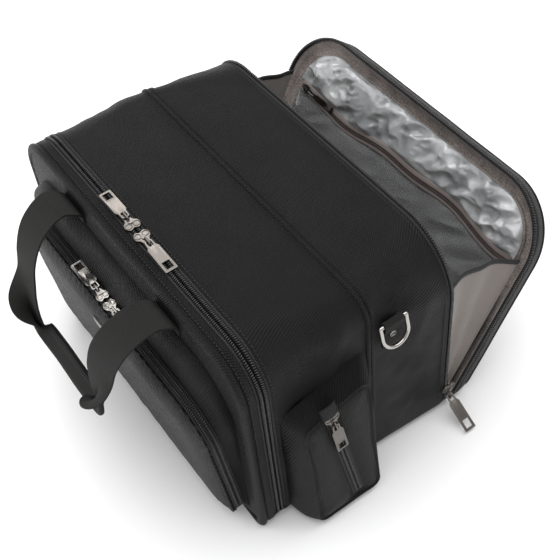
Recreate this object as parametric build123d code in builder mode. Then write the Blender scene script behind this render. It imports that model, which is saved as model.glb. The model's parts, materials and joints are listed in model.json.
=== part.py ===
from build123d import *
from math import asin, atan2, cos, degrees, radians, sin, tan
import os

os.makedirs("parts", exist_ok=True)

# Crew flight bag standing on its base. X runs across the width, -Y is the front, +Z is up, and the
# origin is the centre of the base. Sizes are in millimetres.

# ---------------------------------------------------------------- driving sizes: the body
width = 392.0               # across the body at the front zipper
height = 254.0              # base to top at the front zipper
front_depth = 115.0         # front zipper to the piped seam
rear_depth = 91.0           # piped seam to the rear zipper
front_top_r = 45.0          # shoulder radius at the front zipper
seam_narrowing = 7.0        # how much narrower the body is at the seam
seam_drop = 11.0            # how much lower the body is at the seam
seam_top_r = 24.0
rear_widening = 2.0         # how much wider the body is at the rear zipper than at the front
rear_drop = 7.0
rear_top_r = 66.0
foot_r = 12.0               # radius of the bottom edges
least_r = 1.0               # no outline corner is sharper than this
base_skim = 0.2             # shaved off the two shells' feet, so that they stand on true flats

shell_t = 1.6               # coated outer fabric with its backing
foam_t = 3.0                # stiffening foam
lining_t = 1.0
divider_t = 5.0
board_t = 2.0
part_gap = 0.2              # laid-in pieces stay this far from the lining
divider_gap = 0.6           # and the divider this far, as the lining's shoulders change along the depth
piping_r = 1.8              # how far the seam piping stands out, and half its width
hinge_gap = 0.3             # fabric hinges to the edges that they join

# ---------------------------------------------------------------- driving sizes: zippers
coil_w = 4.6                # one half of the coil, across the zipper
coil_t = 2.4
coil_proud = 1.2            # coil above the fabric
tape_t = 0.8
zip_gap = 0.5               # half of the gap between the two coils
main_half = 7.0             # one visible half of the main and rear zippers
pocket_half = 5.6           # one visible half of the pocket zippers
zip_foot = 16.0             # the zippers end this far above the base

slider_l = 23.0
slider_w = 16.0
slider_plate_t = 1.4
slider_play = 0.4           # slider plate to coil
slider_post_t = 0.5         # the wedge between the two coils
slider_post_l = 8.0
bridge_w = 3.0              # the bridge that holds the pull
bridge_l = 11.0
bridge_t = 1.3
pull_t = 1.4
pull_l = 42.0
pull_w = 13.0
pull_neck_w = 9.0
pull_neck_l = 9.0
pull_eye_w = 4.6            # eye that the bridge passes through
pull_eye_l = 7.0
pull_window_w = 7.5         # rectangular window at the far end
pull_window_l = 9.0
pull_end_rim = 3.0
pull_play = 0.5             # pull bar to bridge and to slider plate
pull_droop = 2.4            # degrees that a resting pull leans towards the fabric

# ---------------------------------------------------------------- driving sizes: front door
door_rim_depth = 13.0
door_panel_t = 4.0
door_lining_t = 1.0
door_edge_r = 3.0
pocket_side = 18.0          # pocket base to the door's edge, each side
pocket_foot = 14.0          # pocket base above the bag's base
pocket_head = 30.0          # pocket base below the door's top
pocket_r = 50.0
pocket_wall = 2.2
pocket_zip_drop = 64.0      # the pocket zipper's upper run, below the door's top
pocket_zip_foot = 16.0
pocket_zip_side = 3.0       # pocket narrows by this much each side, from door to zipper
pocket_lip = 2.0            # gusset depth at its foot
pocket_puff = 18.0          # gusset depth at its top
pocket_zip_r = 45.0
pocket_face_depth = 9.0     # how far the pocket face swells in front of its zipper
pocket_face_side = 20.0     # how far the face's flat middle is from the zipper
badge_w = 30.0
badge_h = 12.0
badge_t = 1.2
badge_drop = 30.0           # badge below the pocket zipper

# ---------------------------------------------------------------- driving sizes: handle
webbing_w = 40.0
webbing_t = 2.4
handle_spread = 172.0       # between the middles of the two roots
handle_grip_l = 118.0
handle_grip_h = 20.0        # webbing folded in half
handle_grip_t = 6.0
handle_pivot_out = 21.0     # where the webbing bends, in front of the door
handle_pivot_drop = 5.0     # and below the door's top
handle_reach = 63.0         # grip in front of the bend
handle_fall = 113.0         # grip below the bend
root_h = 9.0                # sewn height of the webbing's root
root_drop = 22.0            # the root's foot below the bend
root_gap = 1.0              # root stub to the moving webbing
bend_bead = 0.2             # the bend's rounded end stands this far out of the webbing

# ---------------------------------------------------------------- driving sizes: rear flap
flap_open = 30.4            # degrees that the flap stands open
flap_gap = 0.5              # body zipper half to the flap's hinge line
flap_depth = 23.0
flap_taper = 3.0
flap_panel_t = 2.5
flap_recess = 14.0          # zipper edge to the lining of the flap
flap_edge_r = 2.0
flap_clear = 1.5            # the flap's foot above the floor
backing_t = 0.8
backing_inset = 22.0
window_t = 0.8
window_frame = 6.0
window_rise = 6.5           # clear sheet above its backing
window_zip_drop = 72.0      # the clear pocket's zipper below the flap's top
clear_half = 4.8            # one visible half of that zipper
sleeve_w = 230.0
sleeve_h = 110.0
sleeve_up = 70.0
sleeve_gap = 8.0
sleeve_t = 1.6
gusset_t = 0.8
gusset_drop = 63.0          # the gussets' top edge below the flap's top
gusset_inset = 8.5
gusset_foot = 22.0

# ---------------------------------------------------------------- driving sizes: ends
side_front = 12.0           # side pocket behind the front zipper
side_length = 100.0
side_foot = 3.0
side_front_drop = 88.0      # the pocket's top edge below the body's top, at its front
side_rear_drop = 68.0       # and at its rear
side_top_out = 15.0         # how far the pocket stands out at its top
side_foot_out = 32.0        # and at its foot
side_slope = 12.0           # the face is this much smaller than the base, each way
side_wall = 2.0
side_r = 9.0
side_clear = 0.3
side_zip_top = 41.2         # zipper's top end, behind the pocket's front edge
side_zip_head = 25.0        # and below the pocket's highest point
side_zip_lean = 8.0         # degrees that the zipper slants back on its way down
side_zip_end = 14.0         # and its foot end above the pocket's foot
side_zip_half = 7.0
ring_wire_r = 2.0
ring_inner = 25.0           # inner width of the strap ring
ring_drop = 14.0            # straight part of the ring below its bar
ring_tilt = 14.0            # degrees that the ring rests away from its tab
ring_play = 0.3
ring_y = 36.0
ring_head = 46.0            # the ring's bar below the body's top
rivet_drop = 18.0           # the rivet below the bar
tab_w = 22.0
tab_t = 1.5
tab_l = 34.0
rivet_r = 3.6
rivet_t = 1.3

# ---------------------------------------------------------------- stations along the depth
depth = front_depth + rear_depth
y_front = -depth / 2
y_seam = y_front + front_depth
y_rear = depth / 2
y_shell = y_front + main_half
wall = shell_t + foam_t + lining_t
seam_width = width - seam_narrowing
seam_height = height - seam_drop
rear_width = width + rear_widening
rear_height = height - rear_drop
pocket_h = height - pocket_foot - pocket_head
pocket_zip_top = height - pocket_zip_drop
handle_pivot_up = height - handle_pivot_drop
window_zip_up = rear_height - window_zip_drop
gusset_h = rear_height - gusset_drop
side_top_front = height - side_front_drop
side_top_rear = height - side_rear_drop
ring_z = height - ring_head


# ---------------------------------------------------------------- shared outlines
def upright(y):
    """Plane across the bag at depth y: its x runs across the bag, its y upwards, its normal forwards."""
    return Plane.XZ.offset(-y)


def leaning(y, z, lean):
    """The same plane from the line (y, z) up, its top leaning back by lean degrees."""
    tilt = radians(lean)
    return Plane(origin=(0, y, z), x_dir=(1, 0, 0), z_dir=(0, -cos(tilt), sin(tilt)))


def arch(plane, size, inset=0.0, lift=0.0):
    """Round-shouldered outline of (width, height, shoulder radius) that stands on the plane's x axis.

    inset pulls it in all round, and lift raises its foot alone."""
    across, tall, shoulder_r = size
    with BuildSketch(plane) as face:
        with Locations((0, inset + lift)):
            Rectangle(across - 2 * inset, tall - lift - 2 * inset, align=(Align.CENTER, Align.MIN))
        fillet(face.vertices().group_by(Axis.Y)[-1], max(shoulder_r - inset, least_r))
        fillet(face.vertices().group_by(Axis.Y)[0], max(foot_r - inset, least_r))
    return face.sketch


def ring(plane, size, outer, inner):
    """Flat band between two insets of the same outline."""
    with BuildSketch(plane) as face:
        add(arch(Plane.XY, size, outer))
        add(arch(Plane.XY, size, inner), mode=Mode.SUBTRACT)
    return face.sketch


def zip_half(edge, size, half, away):
    """One half of a zipper round an outline: a raised coil at the edge plane, then its tape.

    away is -1 or 1: the side of the edge plane, along its normal, that the tape runs to."""
    with BuildPart() as chain:
        extrude(ring(edge.offset(away * zip_gap), size, -coil_proud, coil_t - coil_proud), away * coil_w)
        tape_start = zip_gap + coil_w
        extrude(ring(edge.offset(away * tape_start), size, 0, tape_t), away * (half - tape_start))
        foot = Plane(origin=edge.origin + edge.y_dir * zip_foot, x_dir=edge.x_dir, z_dir=edge.y_dir)
        split(bisect_by=foot, keep=Keep.TOP)
    return chain.part


front_size = (width, height, front_top_r)
seam_size = (seam_width, seam_height, seam_top_r)
rear_size = (rear_width, rear_height, rear_top_r)


def section(near, far, inset, lift=0.0):
    """The two outlines of one body section, each a (y, size) pair, at the same inset and lift."""
    return [arch(upright(y), size, inset, lift) for y, size in (near, far)]


front_end = (y_shell, front_size)
seam_end = (y_seam, seam_size)
rear_end = (y_rear, rear_size)

# ---------------------------------------------------------------- body: three layers in two sections
with BuildPart() as front_shell:
    loft(section(front_end, seam_end, 0, -base_skim))
    loft(section(front_end, seam_end, shell_t), mode=Mode.SUBTRACT)
    split(bisect_by=Plane.XY, keep=Keep.TOP)
front_shell.part.label = "front_shell"
export_step(front_shell.part, "parts/front_shell.step")

with BuildPart() as front_foam:
    loft(section(front_end, seam_end, shell_t))
    loft(section(front_end, seam_end, shell_t + foam_t), mode=Mode.SUBTRACT)
front_foam.part.label = "front_foam"
export_step(front_foam.part, "parts/front_foam.step")

with BuildPart() as front_lining:
    loft(section(front_end, seam_end, shell_t + foam_t))
    loft(section(front_end, seam_end, wall), mode=Mode.SUBTRACT)
front_lining.part.label = "front_lining"
export_step(front_lining.part, "parts/front_lining.step")

with BuildPart() as rear_shell:
    loft(section(seam_end, rear_end, 0, -base_skim))
    loft(section(seam_end, rear_end, shell_t), mode=Mode.SUBTRACT)
    split(bisect_by=Plane.XY, keep=Keep.TOP)
rear_shell.part.label = "rear_shell"
export_step(rear_shell.part, "parts/rear_shell.step")

with BuildPart() as rear_foam:
    loft(section(seam_end, rear_end, shell_t))
    loft(section(seam_end, rear_end, shell_t + foam_t), mode=Mode.SUBTRACT)
rear_foam.part.label = "rear_foam"
export_step(rear_foam.part, "parts/rear_foam.step")

with BuildPart() as rear_lining:
    loft(section(seam_end, rear_end, shell_t + foam_t))
    loft(section(seam_end, rear_end, wall), mode=Mode.SUBTRACT)
rear_lining.part.label = "rear_lining"
export_step(rear_lining.part, "parts/rear_lining.step")

# Padded wall between the main and the rear compartment, sewn in at the seam.
with BuildPart() as divider_panel:
    extrude(arch(upright(y_seam), seam_size, wall + divider_gap), divider_t)
divider_panel.part.label = "divider_panel"
export_step(divider_panel.part, "parts/divider_panel.step")

# Stiff board lying loose on the floor of the main compartment.
board_l = front_depth - main_half - divider_t - 2 * part_gap
board_w = seam_width - 2 * (foot_r + wall)
with BuildPart() as base_board:
    with BuildSketch(Plane.XY.offset(wall + part_gap)):
        with Locations((0, y_shell + part_gap + board_l / 2)):
            RectangleRounded(board_w, board_l, foot_r)
    extrude(amount=board_t)
base_board.part.label = "base_board"
export_step(base_board.part, "parts/base_board.step")

# Corded piping over the seam, just clear of the fabric that it covers.
with BuildPart() as seam_piping:
    extrude(ring(upright(y_seam + piping_r), seam_size, -piping_r - part_gap, -part_gap), 2 * piping_r)
    split(bisect_by=Plane.XY.offset(foot_r), keep=Keep.TOP)
seam_piping.part.label = "seam_piping"
export_step(seam_piping.part, "parts/seam_piping.step")

# ---------------------------------------------------------------- zipper halves on the body and the door
with BuildPart() as main_zip_body:
    add(zip_half(upright(y_front), front_size, main_half, -1))
main_zip_body.part.label = "main_zip_body"
export_step(main_zip_body.part, "parts/main_zip_body.step")

with BuildPart() as main_zip_door:
    add(zip_half(upright(y_front), front_size, main_half, 1))
main_zip_door.part.label = "main_zip_door"
export_step(main_zip_door.part, "parts/main_zip_door.step")

y_flap = y_rear + main_half + flap_gap
with BuildPart() as rear_zip_body:
    add(zip_half(upright(y_flap - flap_gap + zip_gap), rear_size, main_half + zip_gap, 1))
rear_zip_body.part.label = "rear_zip_body"
export_step(rear_zip_body.part, "parts/rear_zip_body.step")

# ---------------------------------------------------------------- front door
y_door_back = y_front - main_half
y_door_face = y_door_back - door_rim_depth
y_door_front = y_door_face - door_panel_t

with BuildPart() as door_rim:
    extrude(ring(upright(y_door_back), front_size, 0, shell_t + foam_t), door_rim_depth)
door_rim.part.label = "door_rim"
export_step(door_rim.part, "parts/door_rim.step")

with BuildPart() as door_panel:
    extrude(arch(upright(y_door_face), front_size), door_panel_t)
    fillet(door_panel.faces().sort_by(Axis.Y)[0].edges(), door_edge_r)
door_panel.part.label = "door_panel"
export_step(door_panel.part, "parts/door_panel.step")

with BuildPart() as door_lining:
    extrude(ring(upright(y_door_back), front_size, shell_t + foam_t, wall), door_rim_depth)
    extrude(arch(upright(y_door_face + door_lining_t), front_size, wall), door_lining_t)
door_lining.part.label = "door_lining"
export_step(door_lining.part, "parts/door_lining.step")

# ---------------------------------------------------------------- front pocket on the door
pocket_rise = pocket_zip_top - pocket_zip_foot
pocket_lean = -degrees(atan2(pocket_puff - pocket_lip, pocket_rise))
pocket_base = leaning(y_door_front, pocket_foot, 0)
pocket_edge = leaning(y_door_front - pocket_lip, pocket_zip_foot, pocket_lean)
pocket_centre = pocket_edge.offset(pocket_half)
pocket_mouth = pocket_edge.offset(2 * pocket_half)
pocket_w = width - 2 * pocket_side
pocket_base_size = (pocket_w, pocket_h, pocket_r)
pocket_zip_size = (pocket_w - 2 * pocket_zip_side, pocket_rise, pocket_zip_r)

with BuildPart() as front_pocket_gusset:
    loft([arch(pocket_base, pocket_base_size), arch(pocket_edge, pocket_zip_size)])
    loft(
        [arch(pocket_base, pocket_base_size, pocket_wall), arch(pocket_edge, pocket_zip_size, pocket_wall)],
        mode=Mode.SUBTRACT,
    )
front_pocket_gusset.part.label = "front_pocket_gusset"
export_step(front_pocket_gusset.part, "parts/front_pocket_gusset.step")

with BuildPart() as front_pocket_zip:
    add(zip_half(pocket_centre, pocket_zip_size, pocket_half, -1))
    add(zip_half(pocket_centre, pocket_zip_size, pocket_half, 1))
front_pocket_zip.part.label = "front_pocket_zip"
export_step(front_pocket_zip.part, "parts/front_pocket_zip.step")


def pocket_front(swell, inset):
    """Outlines of the pocket face: at its zipper, and at its swollen middle."""
    middle = pocket_mouth.offset(swell)
    rim = arch(pocket_mouth, pocket_zip_size, inset)
    return [rim, arch(middle, pocket_zip_size, pocket_face_side + inset)]


with BuildPart() as front_pocket_face:
    loft(pocket_front(pocket_face_depth, 0))
    loft(pocket_front(pocket_face_depth - pocket_wall, pocket_wall), mode=Mode.SUBTRACT)
front_pocket_face.part.label = "front_pocket_face"
export_step(front_pocket_face.part, "parts/front_pocket_face.step")

with BuildPart() as badge_plate:
    with BuildSketch(pocket_mouth.offset(pocket_face_depth)):
        with Locations((0, pocket_rise - badge_drop)):
            RectangleRounded(badge_w, badge_h, 2)
    extrude(amount=badge_t)
badge_plate.part.label = "badge_plate"
export_step(badge_plate.part, "parts/badge_plate.step")

# ---------------------------------------------------------------- carry handle
y_handle = y_door_front - handle_pivot_out
root_places = [-handle_spread / 2, handle_spread / 2]
root_low = handle_pivot_up - root_drop

# The sewn roots: webbing that comes up off the door and reaches forward to where it bends.
with BuildPart() as handle_roots:
    for root_x in root_places:
        with BuildSketch(Plane.YZ.offset(root_x - webbing_w / 2)):
            with BuildLine():
                Polyline(
                    (y_door_front, root_low),
                    (y_door_front, root_low + root_h),
                    (y_handle + webbing_t / 2 + root_gap, handle_pivot_up + webbing_t / 2),
                    (y_handle + webbing_t / 2 + root_gap, handle_pivot_up - webbing_t / 2),
                    (y_door_front - webbing_t, root_low + root_h - webbing_t / 2),
                    (y_door_front - webbing_t, root_low),
                    close=True,
                )
            make_face()
        extrude(amount=webbing_w)
handle_roots.part.label = "handle_roots"
export_step(handle_roots.part, "parts/handle_roots.step")


def strap_cut(x, out, down, turn, across):
    """Cross-section of the handle's webbing at one point, its long way across the bag."""
    heading = radians(turn)
    plane = Plane(
        origin=(x, y_handle - out, handle_pivot_up - down),
        x_dir=(1, 0, 0),
        z_dir=(0, -cos(heading), -sin(heading)),
    )
    with BuildSketch(plane) as cut:
        Rectangle(across, webbing_t)
    return cut.sketch


# The loop: two flat legs that bend down and in, and the folded middle between them.
grip_end = handle_grip_l / 2
root_x = handle_spread / 2
leg_end = grip_end + webbing_w / 4
with BuildPart() as carry_handle:
    for side in (-1, 1):
        loft(
            [
                strap_cut(side * root_x, 0, 0, 10, webbing_w),
                strap_cut(side * (root_x - 6), 0.50 * handle_reach, 0.12 * handle_fall, 34, webbing_w),
                strap_cut(side * (root_x - 18), 0.86 * handle_reach, 0.48 * handle_fall, 72, webbing_w),
                strap_cut(side * leg_end, handle_reach, handle_fall, 80, webbing_w / 2),
            ]
        )
        with Locations(Location((side * root_x, y_handle, handle_pivot_up), (0, 90, 0))):
            Cylinder(webbing_t / 2 + bend_bead, webbing_w)
    with Locations((0, y_handle - handle_reach, handle_pivot_up - handle_fall - handle_grip_h / 2)):
        Box(2 * leg_end + webbing_w / 2, handle_grip_t, handle_grip_h)
    fillet(carry_handle.edges().filter_by(Axis.X).group_by(Axis.Z)[0], handle_grip_t / 2.5)
carry_handle.part.label = "carry_handle"
export_step(carry_handle.part, "parts/carry_handle.step")

# ---------------------------------------------------------------- rear flap, standing open
flap_edge = leaning(y_flap, 0, flap_open)

with BuildPart() as flap_zip:
    add(zip_half(flap_edge, rear_size, main_half, -1))
flap_zip.part.label = "flap_zip"
export_step(flap_zip.part, "parts/flap_zip.step")


def flap_outline(back, inset):
    """Outline of the flap at one depth behind its zipper edge, its foot just clear of the floor."""
    share = (back - main_half) / (flap_depth - main_half)
    size = (rear_width - 2 * flap_taper * share, rear_height - flap_taper * share, rear_top_r)
    lift = flap_clear + back * tan(radians(flap_open))
    return arch(flap_edge.offset(-back), size, inset, lift)


def flap_walls(start, stop, inset):
    """The two outlines of the flap's tapering wall, start and stop behind its zipper edge."""
    return [flap_outline(start, inset), flap_outline(stop, inset)]


with BuildPart() as flap_rim:
    loft(flap_walls(main_half, flap_depth, 0))
    loft(flap_walls(main_half, flap_depth, shell_t + foam_t), mode=Mode.SUBTRACT)
flap_rim.part.label = "flap_rim"
export_step(flap_rim.part, "parts/flap_rim.step")

with BuildPart() as flap_panel:
    extrude(flap_outline(flap_depth, 0), -flap_panel_t)
    flap_back = Axis(flap_edge.origin, -flap_edge.z_dir)
    fillet(flap_panel.faces().sort_by(flap_back)[-1].edges(), flap_edge_r)
    loft(flap_walls(flap_recess + lining_t, flap_depth, wall + part_gap))
flap_panel.part.label = "flap_panel"
export_step(flap_panel.part, "parts/flap_panel.step")

with BuildPart() as flap_lining:
    loft(flap_walls(main_half, flap_recess + lining_t, shell_t + foam_t + part_gap))
    loft(flap_walls(main_half, flap_recess, wall + part_gap), mode=Mode.SUBTRACT)
flap_lining.part.label = "flap_lining"
export_step(flap_lining.part, "parts/flap_lining.step")

# Clear pocket on the flap's lining: dark backing, raised binding frame, two clear sheets and a zipper.
backing_face = flap_edge.offset(-flap_recess)
frame_face = backing_face.offset(backing_t)
window_face = frame_face.offset(window_rise)
with BuildPart() as backing_panel:
    extrude(arch(backing_face, rear_size, backing_inset), backing_t)
backing_panel.part.label = "backing_panel"
export_step(backing_panel.part, "parts/backing_panel.step")

with BuildPart() as clear_pocket_binding:
    extrude(ring(frame_face, rear_size, backing_inset, backing_inset + window_frame), window_rise)
clear_pocket_binding.part.label = "clear_pocket_binding"
export_step(clear_pocket_binding.part, "parts/clear_pocket_binding.step")


def across_flap(up):
    """Plane across the flap at a height, its normal up the flap."""
    return Plane(
        origin=flap_edge.origin + flap_edge.y_dir * up, x_dir=flap_edge.x_dir, z_dir=flap_edge.y_dir
    )


with BuildPart() as clear_window_upper:
    extrude(arch(window_face, rear_size, backing_inset), window_t)
    split(bisect_by=across_flap(window_zip_up + clear_half), keep=Keep.TOP)
clear_window_upper.part.label = "clear_window_upper"
export_step(clear_window_upper.part, "parts/clear_window_upper.step")

with BuildPart() as clear_window_lower:
    extrude(arch(window_face, rear_size, backing_inset), window_t)
    split(bisect_by=across_flap(window_zip_up - clear_half), keep=Keep.BOTTOM)
clear_window_lower.part.label = "clear_window_lower"
export_step(clear_window_lower.part, "parts/clear_window_lower.step")


def straight_zip(plane, length, half):
    """Both halves of a straight zipper along the plane's x axis, its fabric level at the plane."""
    with BuildPart() as chain:
        for side in (-1, 1):
            with BuildSketch(plane.offset(-tape_t)):
                with Locations((length / 2, side * (half + zip_gap) / 2)):
                    Rectangle(length, half - zip_gap)
            extrude(amount=tape_t)
            with BuildSketch(plane):
                with Locations((length / 2, side * (zip_gap + (half - zip_gap) / 4))):
                    Rectangle(length, (half - zip_gap) / 2)
            extrude(amount=coil_proud)
    return chain.part


clear_zip_l = rear_width - 2 * backing_inset
clear_zip_level = window_face.offset(window_t)
clear_zip_plane = Plane(
    origin=clear_zip_level.origin + clear_zip_level.y_dir * window_zip_up - Vector(clear_zip_l / 2, 0, 0),
    x_dir=(1, 0, 0),
    z_dir=clear_zip_level.z_dir,
)
with BuildPart() as clear_zip:
    add(straight_zip(clear_zip_plane, clear_zip_l, clear_half))
clear_zip.part.label = "clear_zip"
export_step(clear_zip.part, "parts/clear_zip.step")

# Sleeve across the flap's back, which slips over the handle of a rolling case.
sleeve_face = flap_edge.offset(-flap_depth - flap_panel_t)
with BuildPart() as trolley_sleeve:
    with BuildSketch(sleeve_face):
        with Locations((0, sleeve_up)):
            Rectangle(sleeve_w, sleeve_h, align=(Align.CENTER, Align.MIN))
    extrude(amount=-(sleeve_gap + sleeve_t))
    with BuildSketch(sleeve_face):
        with Locations((0, sleeve_up)):
            Rectangle(sleeve_w - 2 * sleeve_t, sleeve_h, align=(Align.CENTER, Align.MIN))
    extrude(amount=-sleeve_gap, mode=Mode.SUBTRACT)
trolley_sleeve.part.label = "trolley_sleeve"
export_step(trolley_sleeve.part, "parts/trolley_sleeve.step")

# Cloth gussets that hold the flap at its open angle, one each end.
lean_y = sin(radians(flap_open))
lean_z = cos(radians(flap_open))
with BuildPart() as side_gussets:
    with BuildSketch(Plane.YZ.offset(rear_width / 2 - gusset_inset)):
        with BuildLine():
            Polyline(
                (y_flap, gusset_foot),
                (y_flap, gusset_h),
                (y_flap + gusset_h * lean_y, gusset_h * lean_z),
                (y_flap + gusset_foot * lean_y, gusset_foot * lean_z),
                close=True,
            )
        make_face()
    extrude(amount=gusset_t)
    mirror(about=Plane.YZ)
side_gussets.part.label = "side_gussets"
export_step(side_gussets.part, "parts/side_gussets.step")

# Fabric hinges: the bottom edges between the zippers' ends, where the door and the flap bend.
for name, edge, size, reach in (
    ("door_hinge", upright(y_shell - hinge_gap), front_size, 2 * (main_half - hinge_gap)),
    ("flap_hinge", upright(y_flap + main_half), rear_size, 2 * main_half + flap_gap - hinge_gap),
):
    with BuildPart() as fabric_hinge:
        extrude(ring(edge, size, 0, shell_t), reach)
        split(bisect_by=Plane.XY.offset(zip_foot - hinge_gap), keep=Keep.BOTTOM)
    fabric_hinge.part.label = name
    export_step(fabric_hinge.part, f"parts/{name}.step")

# ---------------------------------------------------------------- pockets on the two ends
taper = degrees(atan2(seam_narrowing / 2, front_depth - main_half))
side_y = y_front + side_front
side_tall = side_top_rear - side_foot
side_in = width / 2 - (side_front - main_half) * tan(radians(taper)) + side_clear
side_base = Plane(
    origin=(side_in, side_y, side_foot),
    x_dir=(-sin(radians(taper)), cos(radians(taper)), 0),
    z_dir=(cos(radians(taper)), sin(radians(taper)), 0),
)
side_flare = degrees(atan2(side_foot_out - side_top_out, side_tall))
side_face = Plane(
    origin=(side_in + side_foot_out, side_y, side_foot),
    x_dir=(0, 1, 0),
    z_dir=(cos(radians(side_flare)), 0, sin(radians(side_flare))),
)


def side_outline(plane, slope, inset):
    """Four-cornered pocket outline with its top edge rising to the rear."""
    low = 0.2 * slope + inset
    edge = slope + inset
    rise = side_top_rear - side_top_front
    with BuildSketch(plane) as face:
        with BuildLine():
            Polyline(
                (edge, low),
                (side_length - edge, low),
                (side_length - edge, side_tall - edge),
                (edge, side_tall - rise - edge),
                close=True,
            )
        make_face()
        fillet(face.vertices(), max(side_r - inset / 2, least_r))
    return face.sketch


side_zip_up = side_tall - side_zip_head
side_zip_start = side_face.origin + side_face.x_dir * side_zip_top + side_face.y_dir * side_zip_up
lean = radians(side_zip_lean)
side_zip_l = side_zip_up - side_zip_end
side_zip_plane = Plane(
    origin=side_zip_start,
    x_dir=side_face.x_dir * sin(lean) - side_face.y_dir * cos(lean),
    z_dir=side_face.z_dir,
)

with BuildPart() as side_pocket_right:
    loft([side_outline(side_base, 0, 0), side_outline(side_face, side_slope, 0)])
    loft(
        [
            side_outline(side_base, 0, side_wall),
            side_outline(side_face.offset(-side_wall), side_slope, side_wall),
        ],
        mode=Mode.SUBTRACT,
    )
    with BuildSketch(side_zip_plane):
        with Locations((side_zip_l / 2, 0)):
            Rectangle(side_zip_l, 2 * side_zip_half)
    extrude(amount=-2 * side_wall, mode=Mode.SUBTRACT)
side_pocket_right.part.label = "side_pocket_right"
export_step(side_pocket_right.part, "parts/side_pocket_right.step")

with BuildPart() as side_zip_right:
    add(straight_zip(side_zip_plane, side_zip_l, side_zip_half))
side_zip_right.part.label = "side_zip_right"
export_step(side_zip_right.part, "parts/side_zip_right.step")

with BuildPart() as side_pocket_left:
    mirror(side_pocket_right.part, about=Plane.YZ)
side_pocket_left.part.label = "side_pocket_left"
export_step(side_pocket_left.part, "parts/side_pocket_left.step")

with BuildPart() as side_zip_left:
    mirror(side_zip_right.part, about=Plane.YZ)
side_zip_left.part.label = "side_zip_left"
export_step(side_zip_left.part, "parts/side_zip_left.step")

# ---------------------------------------------------------------- strap rings on the two ends
widen = (rear_width - seam_width) / 2 / rear_depth
end_x = seam_width / 2 + widen * (ring_y + tab_w / 2 - y_seam) + side_clear
loop_r = ring_wire_r + ring_play
bar_x = end_x + tab_t + loop_r
tab_face = end_x + 2 * tab_t

with BuildPart() as ring_tabs:
    with BuildSketch(Plane.XZ.offset(-(ring_y + tab_w / 2))):
        with BuildLine():
            Polyline((end_x, ring_z), (end_x, ring_z - tab_l), (tab_face, ring_z - tab_l))
            Polyline((tab_face, ring_z - tab_l), (tab_face, ring_z - 12), (bar_x + loop_r + tab_t, ring_z))
            CenterArc((bar_x, ring_z), loop_r + tab_t, 0, 180)
        make_face()
        with Locations((bar_x, ring_z)):
            Circle(loop_r, mode=Mode.SUBTRACT)
    extrude(amount=tab_w)
    mirror(about=Plane.YZ)
ring_tabs.part.label = "ring_tabs"
export_step(ring_tabs.part, "parts/ring_tabs.step")

with BuildPart() as ring_rivets:
    with BuildSketch(Plane.YZ.offset(tab_face)):
        with Locations((ring_y, ring_z - rivet_drop)):
            Circle(rivet_r)
    extrude(amount=rivet_t)
    fillet(ring_rivets.faces().sort_by(Axis.X)[-1].edges(), 0.6)
    mirror(about=Plane.YZ)
ring_rivets.part.label = "ring_rivets"
export_step(ring_rivets.part, "parts/ring_rivets.step")

half_bar = ring_inner / 2 + ring_wire_r
tilt = radians(ring_tilt)
for side, name in ((-1, "strap_ring_left"), (1, "strap_ring_right")):
    ring_plane = Plane(
        origin=(side * bar_x, ring_y, ring_z),
        x_dir=(0, 1, 0),
        z_dir=(cos(tilt), 0, side * sin(tilt)),
    )
    with BuildPart() as strap_ring:
        with BuildLine(ring_plane) as bow:
            Line((-half_bar, 0), (-half_bar, -ring_drop))
            CenterArc((0, -ring_drop), half_bar, 180, 180)
            Line((half_bar, -ring_drop), (half_bar, 0))
        bow_wire = bow.wires()[0]
        with BuildSketch(Plane(origin=bow_wire @ 0, z_dir=bow_wire % 0)):
            Circle(ring_wire_r)
        sweep()
        with Locations(ring_plane.location):
            Cylinder(ring_wire_r, 2 * half_bar, rotation=(0, 90, 0))
            with Locations((-half_bar, 0), (half_bar, 0)):
                Sphere(ring_wire_r)
    strap_ring.part.label = name
    export_step(strap_ring.part, f"parts/{name}.step")

# ---------------------------------------------------------------- sliders and pulls
bridge_low = coil_proud + slider_play + slider_plate_t
pull_up = bridge_low + pull_play + pull_t / 2
bridge_under = pull_up + pull_t / 2 + pull_play


def slider_body(plane, half, width_over):
    """Slider on a zipper: top and bottom plates, the wedge between the coils and the pull's bridge.

    The plane's x axis runs along the zipper towards the pull, its normal points out of the fabric."""
    back = slider_l - bridge_l / 2
    with BuildPart() as slider:
        with BuildSketch(plane.offset(coil_proud + slider_play)):
            with Locations((bridge_l / 2 - slider_l / 2, 0)):
                RectangleRounded(slider_l, width_over, width_over * 0.3)
        extrude(amount=slider_plate_t)
        under = coil_proud - coil_t - slider_play
        with BuildSketch(plane.offset(under)):
            with Locations((bridge_l / 2 - slider_l / 2, 0)):
                RectangleRounded(slider_l, 2 * half - 3.0, 2.0)
        extrude(amount=-slider_plate_t * 0.8)
        with BuildSketch(plane.offset(under - slider_plate_t * 0.4)):
            with Locations((-back + slider_post_l / 2 + bridge_l / 2, 0)):
                Rectangle(slider_post_l, slider_post_t)
        extrude(amount=bridge_low - under)
        with BuildSketch(plane.offset(bridge_low)):
            Rectangle(bridge_l, bridge_w)
        extrude(amount=bridge_under - bridge_low + bridge_t)
        with BuildSketch(plane.offset(bridge_low)):
            Rectangle(bridge_l - 2 * bridge_t, bridge_w)
        extrude(amount=bridge_under - bridge_low, mode=Mode.SUBTRACT)
    return slider.part


def pull_plane(plane, lift):
    """Plane of a resting pull, through the middle of its bar, its tab lifted by lift degrees."""
    droop = radians(-lift)
    return Plane(
        origin=plane.origin + plane.z_dir * pull_up,
        x_dir=plane.x_dir * cos(droop) - plane.z_dir * sin(droop),
        z_dir=plane.z_dir * cos(droop) + plane.x_dir * sin(droop),
    )


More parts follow.
